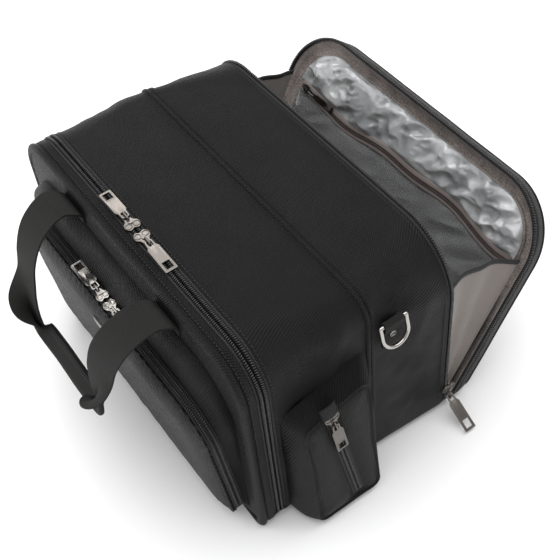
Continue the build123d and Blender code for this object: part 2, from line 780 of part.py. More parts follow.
def pull_tab(plane, lift):
    """Flat pull: bar and eye round the bridge, a neck, and a tab with a rectangular window."""
    with BuildPart() as pull:
        with BuildSketch(pull_plane(plane, lift).offset(-pull_t / 2)):
            with Locations((-pull_t / 2, 0)):
                Rectangle(pull_neck_l + pull_t, pull_neck_w, align=(Align.MIN, Align.CENTER))
            with Locations((pull_neck_l - 2, 0)):
                Rectangle(pull_l - pull_neck_l + 2, pull_w, align=(Align.MIN, Align.CENTER))
            fillet(vertices().sort_by(Axis.X)[-2:], 2)
            with Locations((pull_t / 2, 0)):
                Rectangle(pull_eye_l, pull_eye_w, align=(Align.MIN, Align.CENTER), mode=Mode.SUBTRACT)
            with Locations((pull_l - pull_end_rim, 0)):
                Rectangle(pull_window_l, pull_window_w, align=(Align.MAX, Align.CENTER), mode=Mode.SUBTRACT)
        extrude(amount=pull_t)
    return pull.part


sliders = {}


def zip_stop(name, origin, along, out, half, width_over, lift=-pull_droop):
    """Remember a slider: its plane, the zipper's visible half, its width, and how far its pull is lifted."""
    sliders[name] = (Plane(origin=origin, x_dir=along, z_dir=out), half, width_over, lift)


main_pair_x = 19.5          # middle of each bridge from the bag's centre line
pocket_pair_x = 18.0
rear_slider_z = 24.0
side_slider_in = 18.0       # from the top end of the side pocket's zipper
clear_slider_in = 25.0      # from the left end of the clear pocket's zipper
rear_pull_lift = 90 - degrees(asin((rear_slider_z - 1.5) / pull_l))   # its tip rests on the floor
for side, name in ((-1, "left"), (1, "right")):
    along = (side, 0, 0)
    main_run = Vector(side * main_pair_x, y_front, height)
    zip_stop(f"main_{name}", main_run, along, (0, 0, 1), main_half, slider_w)
    pocket_run = pocket_centre.origin + pocket_centre.y_dir * pocket_rise
    pocket_run = pocket_run + Vector(side * pocket_pair_x, 0, 0)
    zip_stop(f"pocket_{name}", pocket_run, along, pocket_centre.y_dir, pocket_half, slider_w - 3)
    rear_run = Vector(side * rear_width / 2, y_flap - flap_gap + zip_gap, rear_slider_z)
    zip_stop(f"rear_{name}", rear_run, (0, 0, -1), (side, 0, 0), main_half, slider_w, rear_pull_lift)
    side_run = side_zip_plane.origin + side_zip_plane.x_dir * side_slider_in
    side_run = Vector(side * side_run.X, side_run.Y, side_run.Z)
    side_along = Vector(side * side_zip_plane.x_dir.X, side_zip_plane.x_dir.Y, side_zip_plane.x_dir.Z)
    side_out = Vector(side * side_zip_plane.z_dir.X, 0, side_zip_plane.z_dir.Z)
    zip_stop(f"side_{name}", side_run, side_along, side_out, side_zip_half, slider_w)
clear_run = clear_zip_plane.origin + Vector(clear_slider_in, 0, 0)
zip_stop("clear", clear_run, (1, 0, 0), clear_zip_plane.z_dir, clear_half, slider_w - 6)

for name, (plane, half, width_over, lift) in sliders.items():
    with BuildPart() as slider:
        add(slider_body(plane, half, width_over))
    slider.part.label = f"{name}_slider"
    export_step(slider.part, f"parts/{name}_slider.step")
    with BuildPart() as pull:
        add(pull_tab(plane, lift))
    pull.part.label = f"{name}_pull"
    export_step(pull.part, f"parts/{name}_pull.step")
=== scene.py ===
import json
from math import atan2, cos, hypot, pi, radians, sin, tan

import bpy
import numpy as np
from mathutils import Matrix, Vector, noise


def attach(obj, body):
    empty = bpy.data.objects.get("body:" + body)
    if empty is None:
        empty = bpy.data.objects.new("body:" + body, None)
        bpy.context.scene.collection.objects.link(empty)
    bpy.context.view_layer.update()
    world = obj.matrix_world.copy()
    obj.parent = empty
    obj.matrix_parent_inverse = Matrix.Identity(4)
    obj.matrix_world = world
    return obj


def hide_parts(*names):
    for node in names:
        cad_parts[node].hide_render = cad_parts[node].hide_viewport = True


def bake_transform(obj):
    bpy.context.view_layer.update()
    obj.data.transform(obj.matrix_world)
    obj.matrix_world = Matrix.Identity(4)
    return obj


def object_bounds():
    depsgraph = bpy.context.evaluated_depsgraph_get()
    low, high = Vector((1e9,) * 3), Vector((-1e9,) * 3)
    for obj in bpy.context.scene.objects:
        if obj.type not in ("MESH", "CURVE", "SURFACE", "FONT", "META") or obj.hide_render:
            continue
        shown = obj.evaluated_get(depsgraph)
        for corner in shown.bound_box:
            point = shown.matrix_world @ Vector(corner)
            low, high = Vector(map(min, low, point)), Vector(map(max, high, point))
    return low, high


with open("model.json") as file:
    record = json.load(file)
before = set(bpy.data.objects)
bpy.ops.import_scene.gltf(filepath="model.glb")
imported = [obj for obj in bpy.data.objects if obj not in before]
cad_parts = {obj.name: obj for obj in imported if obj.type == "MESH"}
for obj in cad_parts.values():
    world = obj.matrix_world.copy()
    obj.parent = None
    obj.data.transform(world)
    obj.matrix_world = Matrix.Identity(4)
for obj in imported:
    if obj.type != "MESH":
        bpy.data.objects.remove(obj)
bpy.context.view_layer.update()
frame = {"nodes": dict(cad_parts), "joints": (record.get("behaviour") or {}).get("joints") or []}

# After the hard model is read in, the camera is set up. It stands to the bag's right, well
# above it, and looks down on its front corner.
camera = bpy.data.objects.new("camera", bpy.data.cameras.new("camera"))
bpy.context.scene.collection.objects.link(camera)
bpy.context.scene.camera = camera
camera.data.sensor_width = 36.0
camera.data.lens = 69.63
camera.location = (0.64837, -0.34081, 0.97928)
camera.rotation_euler = (radians(39.569), radians(4.154), radians(54.451))

# ---------------------------------------------------------------- the body's outer fabric
# The body is a tube of coated nylon twill, cut in two sections that meet at a welted seam. Each is
# sewn to a zipper at its open end, and stiffened by foam, so it stands up but still gives a little.
front_arch = (0.392, 0.254, 0.045)      # width, height and shoulder radius at the front zipper
seam_arch = (0.385, 0.243, 0.024)
rear_arch = (0.394, 0.247, 0.066)
foot_radius = 0.012
front_y = -0.103                        # the front zipper's middle
body_front_y = -0.096
seam_y = 0.012
body_rear_y = 0.103


def arch_line(size, inset=0.0, lift=0.0):
    """(across, up) points round an arch, from the middle of its foot, as many for every size."""
    across, tall, shoulder = size
    side, low, high = across / 2 - inset, inset + lift, tall - inset
    top_r, low_r = max(shoulder - inset, 0.001), max(foot_radius - inset, 0.001)
    line = []

    def run(a, b, steps):
        line.extend(tuple(p + (q - p) * k / steps for p, q in zip(a, b)) for k in range(steps))

    def turn(x, z, r, start, steps):
        angles = [start + pi / 2 * k / steps for k in range(steps)]
        line.extend((x + r * cos(a), z + r * sin(a)) for a in angles)

    run((0, low), (side - low_r, low), 18)
    turn(side - low_r, low + low_r, low_r, -pi / 2, 6)
    run((side, low + low_r), (side, high - top_r), 48)
    turn(side - top_r, high - top_r, top_r, 0, 18)
    run((side - top_r, high), (top_r - side, high), 80)
    turn(top_r - side, high - top_r, top_r, pi / 2, 18)
    run((-side, high - top_r), (-side, low + low_r), 48)
    turn(low_r - side, low + low_r, low_r, pi, 6)
    run((low_r - side, low), (0, low), 18)
    return np.array(line)


def stand(line, y, z=0.0, lean=0.0, forward=0.0):
    """An (across, up) line stood at depth y and height z, leaning back by lean degrees, moved forward."""
    tilt = radians(lean)
    up, ahead = np.array((0, sin(tilt), cos(tilt))), np.array((0, -cos(tilt), sin(tilt)))
    return np.array((0, y, z)) + np.outer(line[:, 0], (1, 0, 0)) + np.outer(line[:, 1], up) + forward * ahead


def outward(rings, closed=True):
    """Unit normals of a grid of rings, which point away from its middle."""
    if closed:
        along = np.roll(rings, -1, 1) - np.roll(rings, 1, 1)
    else:
        along = np.gradient(rings, axis=1)
    normals = np.cross(along, np.gradient(rings, axis=0))
    normals /= np.linalg.norm(normals, axis=2)[:, :, None] + 1e-12
    return normals * np.sign((normals * (rings - rings.mean((0, 1)))).sum())


def ripple(points, size, seed):
    """Smooth folds about size long: a number from -1 to 1 at each point."""
    size = np.array(size) * np.ones(3)
    flat = points.reshape(-1, 3) / size + np.array((seed * 7.31, seed * 3.17, seed * 5.71))
    return np.array([noise.noise(Vector(p)) for p in flat]).reshape(points.shape[:-1])


def crease(points, start, end, radius, depth):
    """A soft valley or ridge along a line between two points."""
    start, end = np.array(start), np.array(end)
    way = end - start
    share = np.clip(((points - start) @ way) / (way @ way), 0, 1)
    gap = np.linalg.norm(points - start - share[..., None] * way, axis=-1)
    return depth * np.exp(-((gap / radius) ** 2))


def link(name, mesh, material):
    """An object of that mesh, smooth, in that material."""
    mesh.materials.clear()
    mesh.materials.append(material)
    mesh.polygons.foreach_set("use_smooth", [True] * len(mesh.polygons))
    mesh.update()
    obj = bpy.data.objects.new(name, mesh)
    bpy.context.scene.collection.objects.link(obj)
    return obj


def thicken(obj, wall, offset=-1):
    """Give a sheet its thickness, inwards, or with offset 0 about its middle."""
    thick = obj.modifiers.new("wall", "SOLIDIFY")
    thick.thickness = wall
    thick.offset = offset


def close_middle(obj):
    """Weld the rings that shrink to a point in a panel's middle."""
    obj.modifiers.new("middle", "WELD").merge_threshold = 0.00005


def soften(obj, width):
    """Round the edges of a thickened strap."""
    rounded = obj.modifiers.new("edge", "BEVEL")
    rounded.width = width
    rounded.segments = 2
    rounded.limit_method = "ANGLE"


def skin(name, rings, material, closed=True, wall=0.0, flat=False, away=None):
    """Cloth through rings of points, with a UV map in metres. wall is its thickness, inwards.

    flat lays the UV map across the bag, and away is a direction that its outside faces."""
    rings = np.array(rings)
    rows, count = rings.shape[:2]
    columns = count if closed else count - 1
    faces, places = [], []
    round_way = np.linalg.norm(np.roll(rings, -1, 1) - rings, axis=2).mean(0)
    u = np.concatenate(([0], np.cumsum(round_way)))
    v = np.concatenate(([0], np.cumsum(np.linalg.norm(np.diff(rings, axis=0), axis=2).mean(1))))
    for r in range(rows - 1):
        for c in range(columns):
            n = (c + 1) % count
            faces.append((r * count + c, r * count + n, (r + 1) * count + n, (r + 1) * count + c))
            places.extend(((u[c], v[r]), (u[c + 1], v[r]), (u[c + 1], v[r + 1]), (u[c], v[r + 1])))
    points = rings.reshape(-1, 3)
    corners = points[np.array(faces)]
    facing = np.cross(corners[:, 2] - corners[:, 0], corners[:, 3] - corners[:, 1])
    wanted = corners.mean(1) - points.mean(0) if away is None else np.array(away)
    lean_out = (facing * wanted).sum()
    mesh = bpy.data.meshes.new(name)
    mesh.from_pydata(points.tolist(), [], faces)
    layer = mesh.uv_layers.new(name="UVMap")
    if flat:
        lay = flat if callable(flat) else lambda p: (p[0], hypot(p[1], p[2]))
        places = [lay(points[i]) for f in faces for i in f]
    layer.data.foreach_set("uv", np.array(places, dtype=np.float32).ravel())
    if lean_out < 0:
        mesh.flip_normals()
    obj = link(name, mesh, material)
    if wall:
        thicken(obj, wall)
    return obj


def painted(name, colour, roughness, **sockets):
    """A new material: its node tree, its shader, and the constants set on the shader."""
    material = bpy.data.materials.new(name)
    material.use_nodes = True
    shader = material.node_tree.nodes["Principled BSDF"]
    shader.inputs["Base Color"].default_value = (*colour, 1)
    shader.inputs["Roughness"].default_value = roughness
    for socket, value in sockets.items():
        shader.inputs[socket.replace("_", " ")].default_value = value
    return material, material.node_tree, shader


def paint_node(node, material):
    """Put a material on a piece that is used as it was modelled."""
    for place in frame["nodes"][node].material_slots:
        place.material = material


def number(tree, operation, *values):
    """A Math node on sockets or numbers; its result socket."""
    node = tree.nodes.new("ShaderNodeMath")
    node.operation = operation
    for place, value in enumerate(values):
        if isinstance(value, (int, float)):
            node.inputs[place].default_value = value
        else:
            tree.links.new(value, node.inputs[place])
    return node.outputs[0]


def grain(tree, size, detail=3.0):
    """Noise about size metres long; its factor socket."""
    coordinates = tree.nodes.new("ShaderNodeTexCoord")
    node = tree.nodes.new("ShaderNodeTexNoise")
    node.inputs["Scale"].default_value = 1 / size
    node.inputs["Detail"].default_value = detail
    tree.links.new(coordinates.outputs["Object"], node.inputs["Vector"])
    return node.outputs["Factor" if "Factor" in node.outputs else "Fac"]


def shade(tree, factor, dark, light):
    """Colour between dark and light by a factor; its colour socket."""
    node = tree.nodes.new("ShaderNodeMix")
    node.data_type = "RGBA"
    colours = [s for s in node.inputs if s.type == "RGBA"]
    colours[0].default_value = (*dark, 1)
    colours[1].default_value = (*light, 1)
    tree.links.new(factor, node.inputs[0])
    return [s for s in node.outputs if s.type == "RGBA"][0]


def relief(tree, shader, height, distance):
    """Bump of that height field, distance metres high, on the shader."""
    node = tree.nodes.new("ShaderNodeBump")
    node.inputs["Strength"].default_value = 1.0
    node.inputs["Distance"].default_value = distance
    tree.links.new(height, node.inputs["Height"])
    tree.links.new(node.outputs["Normal"], shader.inputs["Normal"])


def threads(tree, across, along, twill=0.0):
    """Crossing threads on the piece's own UV map: a height socket from 0 to 1. twill leans the ribs."""
    place = tree.nodes.new("ShaderNodeUVMap")
    split = tree.nodes.new("ShaderNodeSeparateXYZ")
    tree.links.new(place.outputs["UV"], split.inputs[0])
    u = number(tree, "MULTIPLY", split.outputs[0], 2 * pi / across)
    v = number(tree, "MULTIPLY", split.outputs[1], 2 * pi / along)
    if twill:
        u = number(tree, "ADD", u, number(tree, "MULTIPLY", v, twill))
    warp, weft = number(tree, "SINE", u), number(tree, "SINE", v)
    both = number(tree, "MULTIPLY", warp, weft)
    return number(tree, "MULTIPLY_ADD", both, 0.5, 0.5)


def fabric(name, dark, light, roughness, across, along, depth, twill=0.0, sheen=0.1, gloss=0.3):
    """Woven cloth: threads of the given pitches, uneven wear, and its sheen and gloss."""
    material, tree, shader = painted(
        name, dark, roughness, Specular_IOR_Level=gloss, Sheen_Weight=sheen, Sheen_Roughness=0.45
    )
    weave = threads(tree, across, along, twill)
    blotch = grain(tree, 0.05)
    mixed = number(tree, "MULTIPLY_ADD", blotch, 0.55, number(tree, "MULTIPLY", weave, 0.45))
    tree.links.new(shade(tree, mixed, dark, light), shader.inputs["Base Color"])
    rough = number(tree, "MULTIPLY_ADD", weave, -0.16, roughness + 0.08)
    tree.links.new(rough, shader.inputs["Roughness"])
    relief(tree, shader, weave, depth)
    return material


twill = fabric(
    "outer twill", (0.0006, 0.0006, 0.0007), (0.0135, 0.0127, 0.0132),
    roughness=0.46, across=0.0026, along=0.0026, depth=0.0014, twill=0.5, sheen=0.0, gloss=0.20,
)
foam_core, foam_tree, foam_shader = painted("foam", (0.05, 0.05, 0.055), 0.95)
relief(foam_tree, foam_shader, grain(foam_tree, 0.0012), 0.0004)
lining = fabric(
    "grey lining", (0.105, 0.092, 0.083), (0.20, 0.18, 0.165),
    roughness=0.8, across=0.0008, along=0.0007, depth=0.00008, twill=0.0, sheen=0.2,
)


def body_folds(rings, share):
    """How far the body's cloth stands out: slack between its seams, more on the ends than on top."""
    x, z = np.abs(rings[..., 0]), rings[..., 2]
    on_end = np.clip((x - 0.165) / 0.025, 0, 1)
    off_foot = np.clip((z - 0.012) / 0.04, 0, 1)
    off_tab = 1 - np.exp(-((rings[..., 1] - 0.036) ** 2 + (z - 0.190) ** 2) / 0.026**2) * on_end
    slack = np.sin(pi * share)[:, None] ** 0.7 * off_foot * off_tab
    folds = 0.0015 * ripple(rings, 0.075, 1) + 0.0008 * ripple(rings, (0.05, 0.02, 0.05), 2)
    folds += on_end * (0.0042 * ripple(rings, (0.05, 0.035, 0.055), 3) + 0.0015 * ripple(rings, 0.018, 4))
    return slack * folds


def body_section(near, far, inset, steps):
    """Rings of one body section at an inset, (y, arch) at each end, with the cloth's folds in them."""
    share = np.linspace(0, 1, steps)
    first, last = arch_line(near[1], inset), arch_line(far[1], inset)
    rings = np.array([stand(first * (1 - s) + last * s, near[0] * (1 - s) + far[0] * s) for s in share])
    folds = body_folds(rings, share)
    for side in (-1, 1):
        folds += on_side(rings, side) * np.sin(pi * share)[:, None] * (
            crease(rings, (side * 0.196, -0.08, 0.235), (side * 0.196, -0.02, 0.19), 0.012, -0.0030)
            + crease(rings, (side * 0.192, -0.015, 0.235), (side * 0.192, -0.03, 0.195), 0.010, 0.0024)
            + crease(rings, (side * 0.192, 0.03, 0.235), (side * 0.194, 0.055, 0.215), 0.010, -0.0032)
            + crease(rings, (side * 0.196, 0.085, 0.20), (side * 0.196, 0.06, 0.15), 0.012, 0.0022)
            + crease(rings, (side * 0.196, 0.03, 0.11), (side * 0.196, 0.09, 0.05), 0.014, -0.0024)
        )
    return rings + outward(rings) * folds[..., None]


def on_side(rings, side):
    """1 on one end of the bag, fading to 0 across its shoulder."""
    return np.clip((side * rings[..., 0] - 0.15) / 0.03, 0, 1)


front_end, seam_end, rear_end = (body_front_y, front_arch), (seam_y, seam_arch), (body_rear_y, rear_arch)
for part, near, far in (("front", front_end, seam_end), ("rear", seam_end, rear_end)):
    outer = skin(f"{part}_fabric", body_section(near, far, 0, 30), twill, wall=0.0015)
    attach(outer, "bag_body")
    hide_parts(f"{part}_shell")
    core = skin(f"{part}_foam_layer", body_section(near, far, 0.0017, 12), foam_core, wall=0.0028)
    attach(core, "bag_body")
    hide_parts(f"{part}_foam")
    inner = skin(f"{part}_lining_cloth", body_section(near, far, 0.0046, 24), lining, wall=0.0009)
    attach(inner, "bag_body")
    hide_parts(f"{part}_lining")

# ---------------------------------------------------------------- rows of coils and stitches
# Zipper coils and seam stitches repeat along a line. One tree lays a small rounded rib at each step
# of the line, its length across it, standing on the cloth.
row_tree = bpy.data.node_groups.new("sewn row", "GeometryNodeTree")
row_tree.interface.new_socket("Geometry", in_out="INPUT", socket_type="NodeSocketGeometry")
for socket, kind, value in (
    ("Pitch", "NodeSocketFloat", 0.0022),
    ("Along", "NodeSocketFloat", 0.0018),
    ("Across", "NodeSocketFloat", 0.0044),
    ("Height", "NodeSocketFloat", 0.0022),
    ("Slant", "NodeSocketFloat", 0.0),
    ("Sides", "NodeSocketInt", 8),
    ("Seed", "NodeSocketInt", 1),
):
    row_tree.interface.new_socket(socket, in_out="INPUT", socket_type=kind).default_value = value
row_tree.interface.new_socket("Finish", in_out="INPUT", socket_type="NodeSocketMaterial")
row_tree.interface.new_socket("Geometry", in_out="OUTPUT", socket_type="NodeSocketGeometry")
row_in, row_out = row_tree.nodes.new("NodeGroupInput"), row_tree.nodes.new("NodeGroupOutput")


def row_node(kind, **links):
    """A node of the row tree, its inputs joined to sockets or set to values."""
    node = row_tree.nodes.new(kind)
    for name, value in links.items():
        socket = node.inputs[name.replace("_", " ")]
        if isinstance(value, bpy.types.NodeSocket):
            row_tree.links.new(value, socket)
        else:
            socket.default_value = value
    return node


line_curve = row_node("GeometryNodeMeshToCurve", Mesh=row_in.outputs["Geometry"])
steps_node = row_node("GeometryNodeResampleCurve", Curve=line_curve.outputs[0])
steps_node.mode = "LENGTH"
row_tree.links.new(row_in.outputs["Pitch"], steps_node.inputs["Length"])
tangent = row_node("GeometryNodeInputTangent")
stand_out = row_node("GeometryNodeInputNamedAttribute", Name="out")
stand_out.data_type = "FLOAT_VECTOR"
first_turn = row_node("FunctionNodeAlignRotationToVector", Vector=tangent.outputs[0])
first_turn.axis = "X"
second_turn = row_node(
    "FunctionNodeAlignRotationToVector", Rotation=first_turn.outputs[0], Vector=stand_out.outputs[0]
)
second_turn.axis = "Z"
second_turn.pivot_axis = "X"
slant_turn = row_node("FunctionNodeAxisAngleToRotation", Axis=(0, 0, 1), Angle=row_in.outputs["Slant"])
third_turn = row_node(
    "FunctionNodeRotateRotation", Rotation=second_turn.outputs[0], Rotate_By=slant_turn.outputs[0]
)
third_turn.rotation_space = "LOCAL"
jitter = row_node("FunctionNodeRandomValue", Seed=row_in.outputs["Seed"])
jitter.inputs[2].default_value, jitter.inputs[3].default_value = 0.46, 0.52
rib_size = row_node("ShaderNodeCombineXYZ")
for axis, name in enumerate(("Along", "Across", "Height")):
    half_size = row_node("ShaderNodeMath")
    half_size.operation = "MULTIPLY"
    row_tree.links.new(row_in.outputs[name], half_size.inputs[0])
    row_tree.links.new(jitter.outputs[1], half_size.inputs[1])
    row_tree.links.new(half_size.outputs[0], rib_size.inputs[axis])
rib = row_node("GeometryNodeMeshUVSphere", Segments=row_in.outputs["Sides"], Rings=4, Radius=1.0)
placed = row_node(
    "GeometryNodeInstanceOnPoints",
    Points=steps_node.outputs[0],
    Instance=rib.outputs["Mesh"],
    Rotation=third_turn.outputs[0],
    Scale=rib_size.outputs[0],
)
real = row_node("GeometryNodeRealizeInstances", Geometry=placed.outputs[0])
finished = row_node("GeometryNodeSetMaterial", Geometry=real.outputs[0], Material=row_in.outputs["Finish"])
row_tree.links.new(finished.outputs[0], row_out.inputs["Geometry"])


def sewn_row(name, lines, material, **inputs):
    """Ribs along lines of (points, outward directions), as one plain mesh."""
    points, outs, edges = [], [], []
    for line, out in lines:
        edges.extend((len(points) + k, len(points) + k + 1) for k in range(len(line) - 1))
        points.extend(np.array(line).tolist())
        outs.extend(np.array(out).tolist())
    path = bpy.data.meshes.new(name)
    path.from_pydata(points, edges, [])
    path.attributes.new("out", "FLOAT_VECTOR", "POINT").data.foreach_set("vector", np.array(outs).ravel())
    obj = bpy.data.objects.new(name, path)
    bpy.context.scene.collection.objects.link(obj)
    modifier = obj.modifiers.new("row", "NODES")
    modifier.node_group = row_tree
    for item in row_tree.interface.items_tree:
        if item.item_type == "SOCKET" and item.in_out == "INPUT" and item.name in inputs:
            modifier[item.identifier] = inputs[item.name]
        if item.item_type == "SOCKET" and item.name == "Finish":
            modifier[item.identifier] = material
    bpy.context.view_layer.update()
    made = bpy.data.meshes.new_from_object(obj.evaluated_get(bpy.context.evaluated_depsgraph_get()))
    obj.modifiers.remove(modifier)
    obj.data = made
    made.name = name
    made.polygons.foreach_set("use_smooth", [True] * len(made.polygons))
    return obj


stitch_thread, thread_tree, thread_shader = painted("sewing thread", (0.02, 0.02, 0.022), 0.55)
relief(thread_tree, thread_shader, grain(thread_tree, 0.0006), 0.0001)


def stitches(name, lines, body):
    """A row of lockstitches, 3.4 mm long."""
    row = sewn_row(
        name, lines, stitch_thread, Pitch=0.0042, Along=0.0034, Across=0.0007, Height=0.0007, Sides=6
    )
    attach(row, body)


def arch_row(size, y, z=0.0, lean=0.0, forward=0.0, inset=0.0, foot=0.016, lift=0.0):
    """A line round an arch above its foot, and which way is out from it."""
    line = arch_line(size, inset, lift)
    line = line[line[:, 1] >= foot]
    points = stand(line, y, z, lean, forward)
    way = np.gradient(points, axis=0)
    tilt = radians(lean)
    out = np.cross(np.array((0, -cos(tilt), sin(tilt))), way)
    out *= np.sign((out * (points - points.mean(0))).sum())
    return points, out / np.linalg.norm(out, axis=1)[:, None]


# ---------------------------------------------------------------- the welted seam
# Where the two body sections meet, a strip of the same twill is folded over a cord and sewn in. It
# stands up as a thin ridge, with a line of topstitching behind it.
welt_profile = [
    (-0.0030, 0.0006), (-0.0024, -0.0010), (-0.0010, -0.0021), (0.0006, -0.0021), (0.0018, -0.0010),
    (0.0022, 0.0004), (0.0026, 0.0010), (0.0032, 0.0006), (0.0040, -0.0006), (0.0060, -0.0007),
    (0.0076, -0.0004), (0.0080, 0.0004),
]
welt = skin(
    "seam_welt",
    [stand(arch_line(seam_arch, inset), seam_y + way) for way, inset in welt_profile],
    twill,
    wall=0.0006,
)
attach(welt, "bag_body")
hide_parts("seam_piping")
stitches("seam_topstitch", [arch_row(seam_arch, seam_y + 0.0050, inset=-0.0002, foot=0.02)], "bag_body")

# ---------------------------------------------------------------- inside the main compartment
# A foam-filled wall in lining cloth parts the main from the rear compartment, sewn in at the seam. A
# stiff board, covered in lining paper, lies loose on the floor.


def to_middle(line, centre, shares):
    """Rings that shrink a line towards a centre: the panel inside it."""
    return [centre + (line - centre) * s for s in shares]


def even(half):
    """A profile across a strip from its first half, which ends in the middle."""
    return half + [(-way, level) for way, level in half[-2::-1]]


def panel(name, line, centre, shares, place, rise, material, wall=0.0, away=(0, -1, 0)):
    """A closed panel inside a line. place stands (points, forward) in the bag; rise gives its crown."""
    rings = []
    for inner in to_middle(line, np.array(centre), shares):
        gap = np.sqrt(((inner[:, None, :] - line[None, ::3, :]) ** 2).sum(2)).min(1)
        flat = place(inner, 0.0)
        ahead = place(inner, 1.0) - flat
        rings.append(flat + ahead * rise(gap, flat)[:, None])
    obj = skin(name, rings, material, flat=True, away=away)
    close_middle(obj)
    if wall:
        thicken(obj, wall)
    return obj


edge_to_middle = [
    1, 0.992, 0.98, 0.965, 0.945, 0.92, 0.89, 0.85, 0.8, 0.74, 0.67, 0.59, 0.5, 0.4, 0.3, 0.2, 0.1, 0.0
]
wall_line = arch_line(seam_arch, 0.0063)
divider = panel(
    "divider_wall",
    wall_line,
    (0, 0.12),
    edge_to_middle,
    lambda line, ahead: stand(line, seam_y - 0.0042, forward=ahead),
    lambda gap, at: -0.0016 * np.exp(-gap / 0.008) + 0.0005 * ripple(at, 0.06, 9),
    lining,
    wall=0.0036,
)
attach(divider, "bag_body")
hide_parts("divider_panel")

board_cover, board_tree, board_shader = painted("lined fibreboard", (0.09, 0.08, 0.07), 0.85)
relief(board_tree, board_shader, grain(board_tree, 0.002, 6), 0.00015)
paint_node("base_board", board_cover)

# ---------------------------------------------------------------- coil zippers round the two openings
# A nylon coil is sewn to a woven tape, one half on the body and one on the door or flap. The tape is
# turned in at the fabric's edge, and its two ends stop short of the base.
tape = fabric(
    "zipper tape", (0.007, 0.007, 0.008), (0.02, 0.02, 0.021),
    roughness=0.66, across=0.0009, along=0.0016, depth=0.00022, twill=0.0, sheen=0.05,
)
coil, coil_tree, coil_shader = painted("nylon coil", (0.030, 0.029, 0.030), 0.26, Specular_IOR_Level=0.62)
rubbed = shade(coil_tree, grain(coil_tree, 0.012), (0.007, 0.007, 0.008), (0.022, 0.022, 0.023))
coil_tree.links.new(rubbed, coil_shader.inputs["Base Color"])
relief(coil_tree, coil_shader, grain(coil_tree, 0.0007), 0.00006)
tape_profile = [
    (0.0006, 0.0012), (0.0030, 0.0012), (0.0050, 0.0010),
    (0.0056, 0.0001), (0.0064, -0.0002), (0.0072, 0.0004),
]
band_foot = 0.0155                      # the tapes end this far above the floor


def zipper_half(name, size, y, z, lean, away, body, node, tape_to=0.0070, pitch=0.0023):
    """One half: its tape and its coil, away (-1 back, 1 forward) from the zipper's middle."""
    stretch = tape_to / 0.0070
    keep = arch_line(size)[:, 1] >= band_foot
    rings = []
    for way, inset in tape_profile:
        reach = way if way < 0.0052 else way * stretch
        rings.append(stand(arch_line(size, inset)[keep], y, z, lean, away * reach))
    cloth = skin(f"{name}_tape", rings, tape, closed=False, wall=0.0006)
    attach(cloth, body)
    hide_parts(node)
    middle = arch_row(size, y, z, lean, away * 0.0025, inset=0.0001)
    rib = {"Pitch": pitch, "Along": pitch * 0.68, "Across": 0.0046, "Height": 0.0033, "Slant": away * 0.22}
    teeth = sewn_row(f"{name}_coil", [middle], coil, **rib)
    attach(teeth, body)
    seam = arch_row(size, y, z, lean, away * 0.0060, inset=-0.0002)
    stitches(f"{name}_stitches", [seam], body)


zipper_half("main_body", front_arch, front_y, 0, 0, -1, "bag_body", "main_zip_body")
zipper_half("main_door", front_arch, front_y, 0, 0, 1, "front_door", "main_zip_door")

# ---------------------------------------------------------------- the front door
# A shallow padded door closes the main compartment. A flat band of twill runs from its zipper to a
# corded edge, and the panel behind the front pocket is foam between twill and lining.
door_profile = [
    (0.0070, 0.0006), (0.0076, -0.0003), (0.0100, -0.0006), (0.0130, -0.0004), (0.0146, 0.0001),
    (0.0152, 0.0013), (0.0157, 0.0012), (0.0164, -0.0004), (0.0178, -0.0015), (0.0196, -0.0021),
    (0.0214, -0.0017), (0.0230, -0.0002), (0.0240, 0.0018), (0.0243, 0.0040), (0.0238, 0.0060),
    (0.0226, 0.0074),
]
door_rings = np.array([
    stand(arch_line(front_arch, inset), front_y, forward=way) for way, inset in door_profile
])
door_rings += outward(door_rings) * (0.0004 * ripple(door_rings, (0.05, 0.02, 0.05), 11))[..., None]
door_rings[..., 2] = np.maximum(door_rings[..., 2], 0.0)     # its foot rests on the floor
door_band = skin("door_band", door_rings, twill, wall=0.0014)
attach(door_band, "front_door")
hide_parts("door_rim")
band_seam = arch_row(front_arch, front_y, forward=0.0140, inset=-0.0003, foot=0.013)
stitches("door_band_stitches", [band_seam], "front_door")

door_panel = panel(
    "door_padding",
    arch_line(front_arch, 0.0064),
    (0, 0.125),
    edge_to_middle,
    lambda line, ahead: stand(line, front_y - 0.0222, forward=ahead),
    lambda gap, at: 0.0028 * (1 - np.exp(-gap / 0.012)) + 0.0006 * ripple(at, 0.05, 12),
    twill,
    wall=0.0026,
)
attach(door_panel, "front_door")
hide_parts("door_panel")

cup = [stand(arch_line(front_arch, inset), front_y, forward=way) for way, inset in (
    (0.0072, 0.0050), (0.0100, 0.0051), (0.0150, 0.0053), (0.0178, 0.0060), (0.0185, 0.0080)
)]
floor_line = arch_line(front_arch, 0.0080)
cup += [
    stand(ring, front_y, forward=0.0186)
    for ring in to_middle(floor_line, np.array((0, 0.125)), edge_to_middle[1:])
]
cup = np.array(cup)
cup[5:, :, 1] += 0.0007 * ripple(cup[5:], 0.05, 13)
door_inside = skin("door_inside_cloth", cup, lining, wall=0.0007, flat=True, away=(0, 1, 0))
close_middle(door_inside)
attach(door_inside, "front_door")
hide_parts("door_lining")

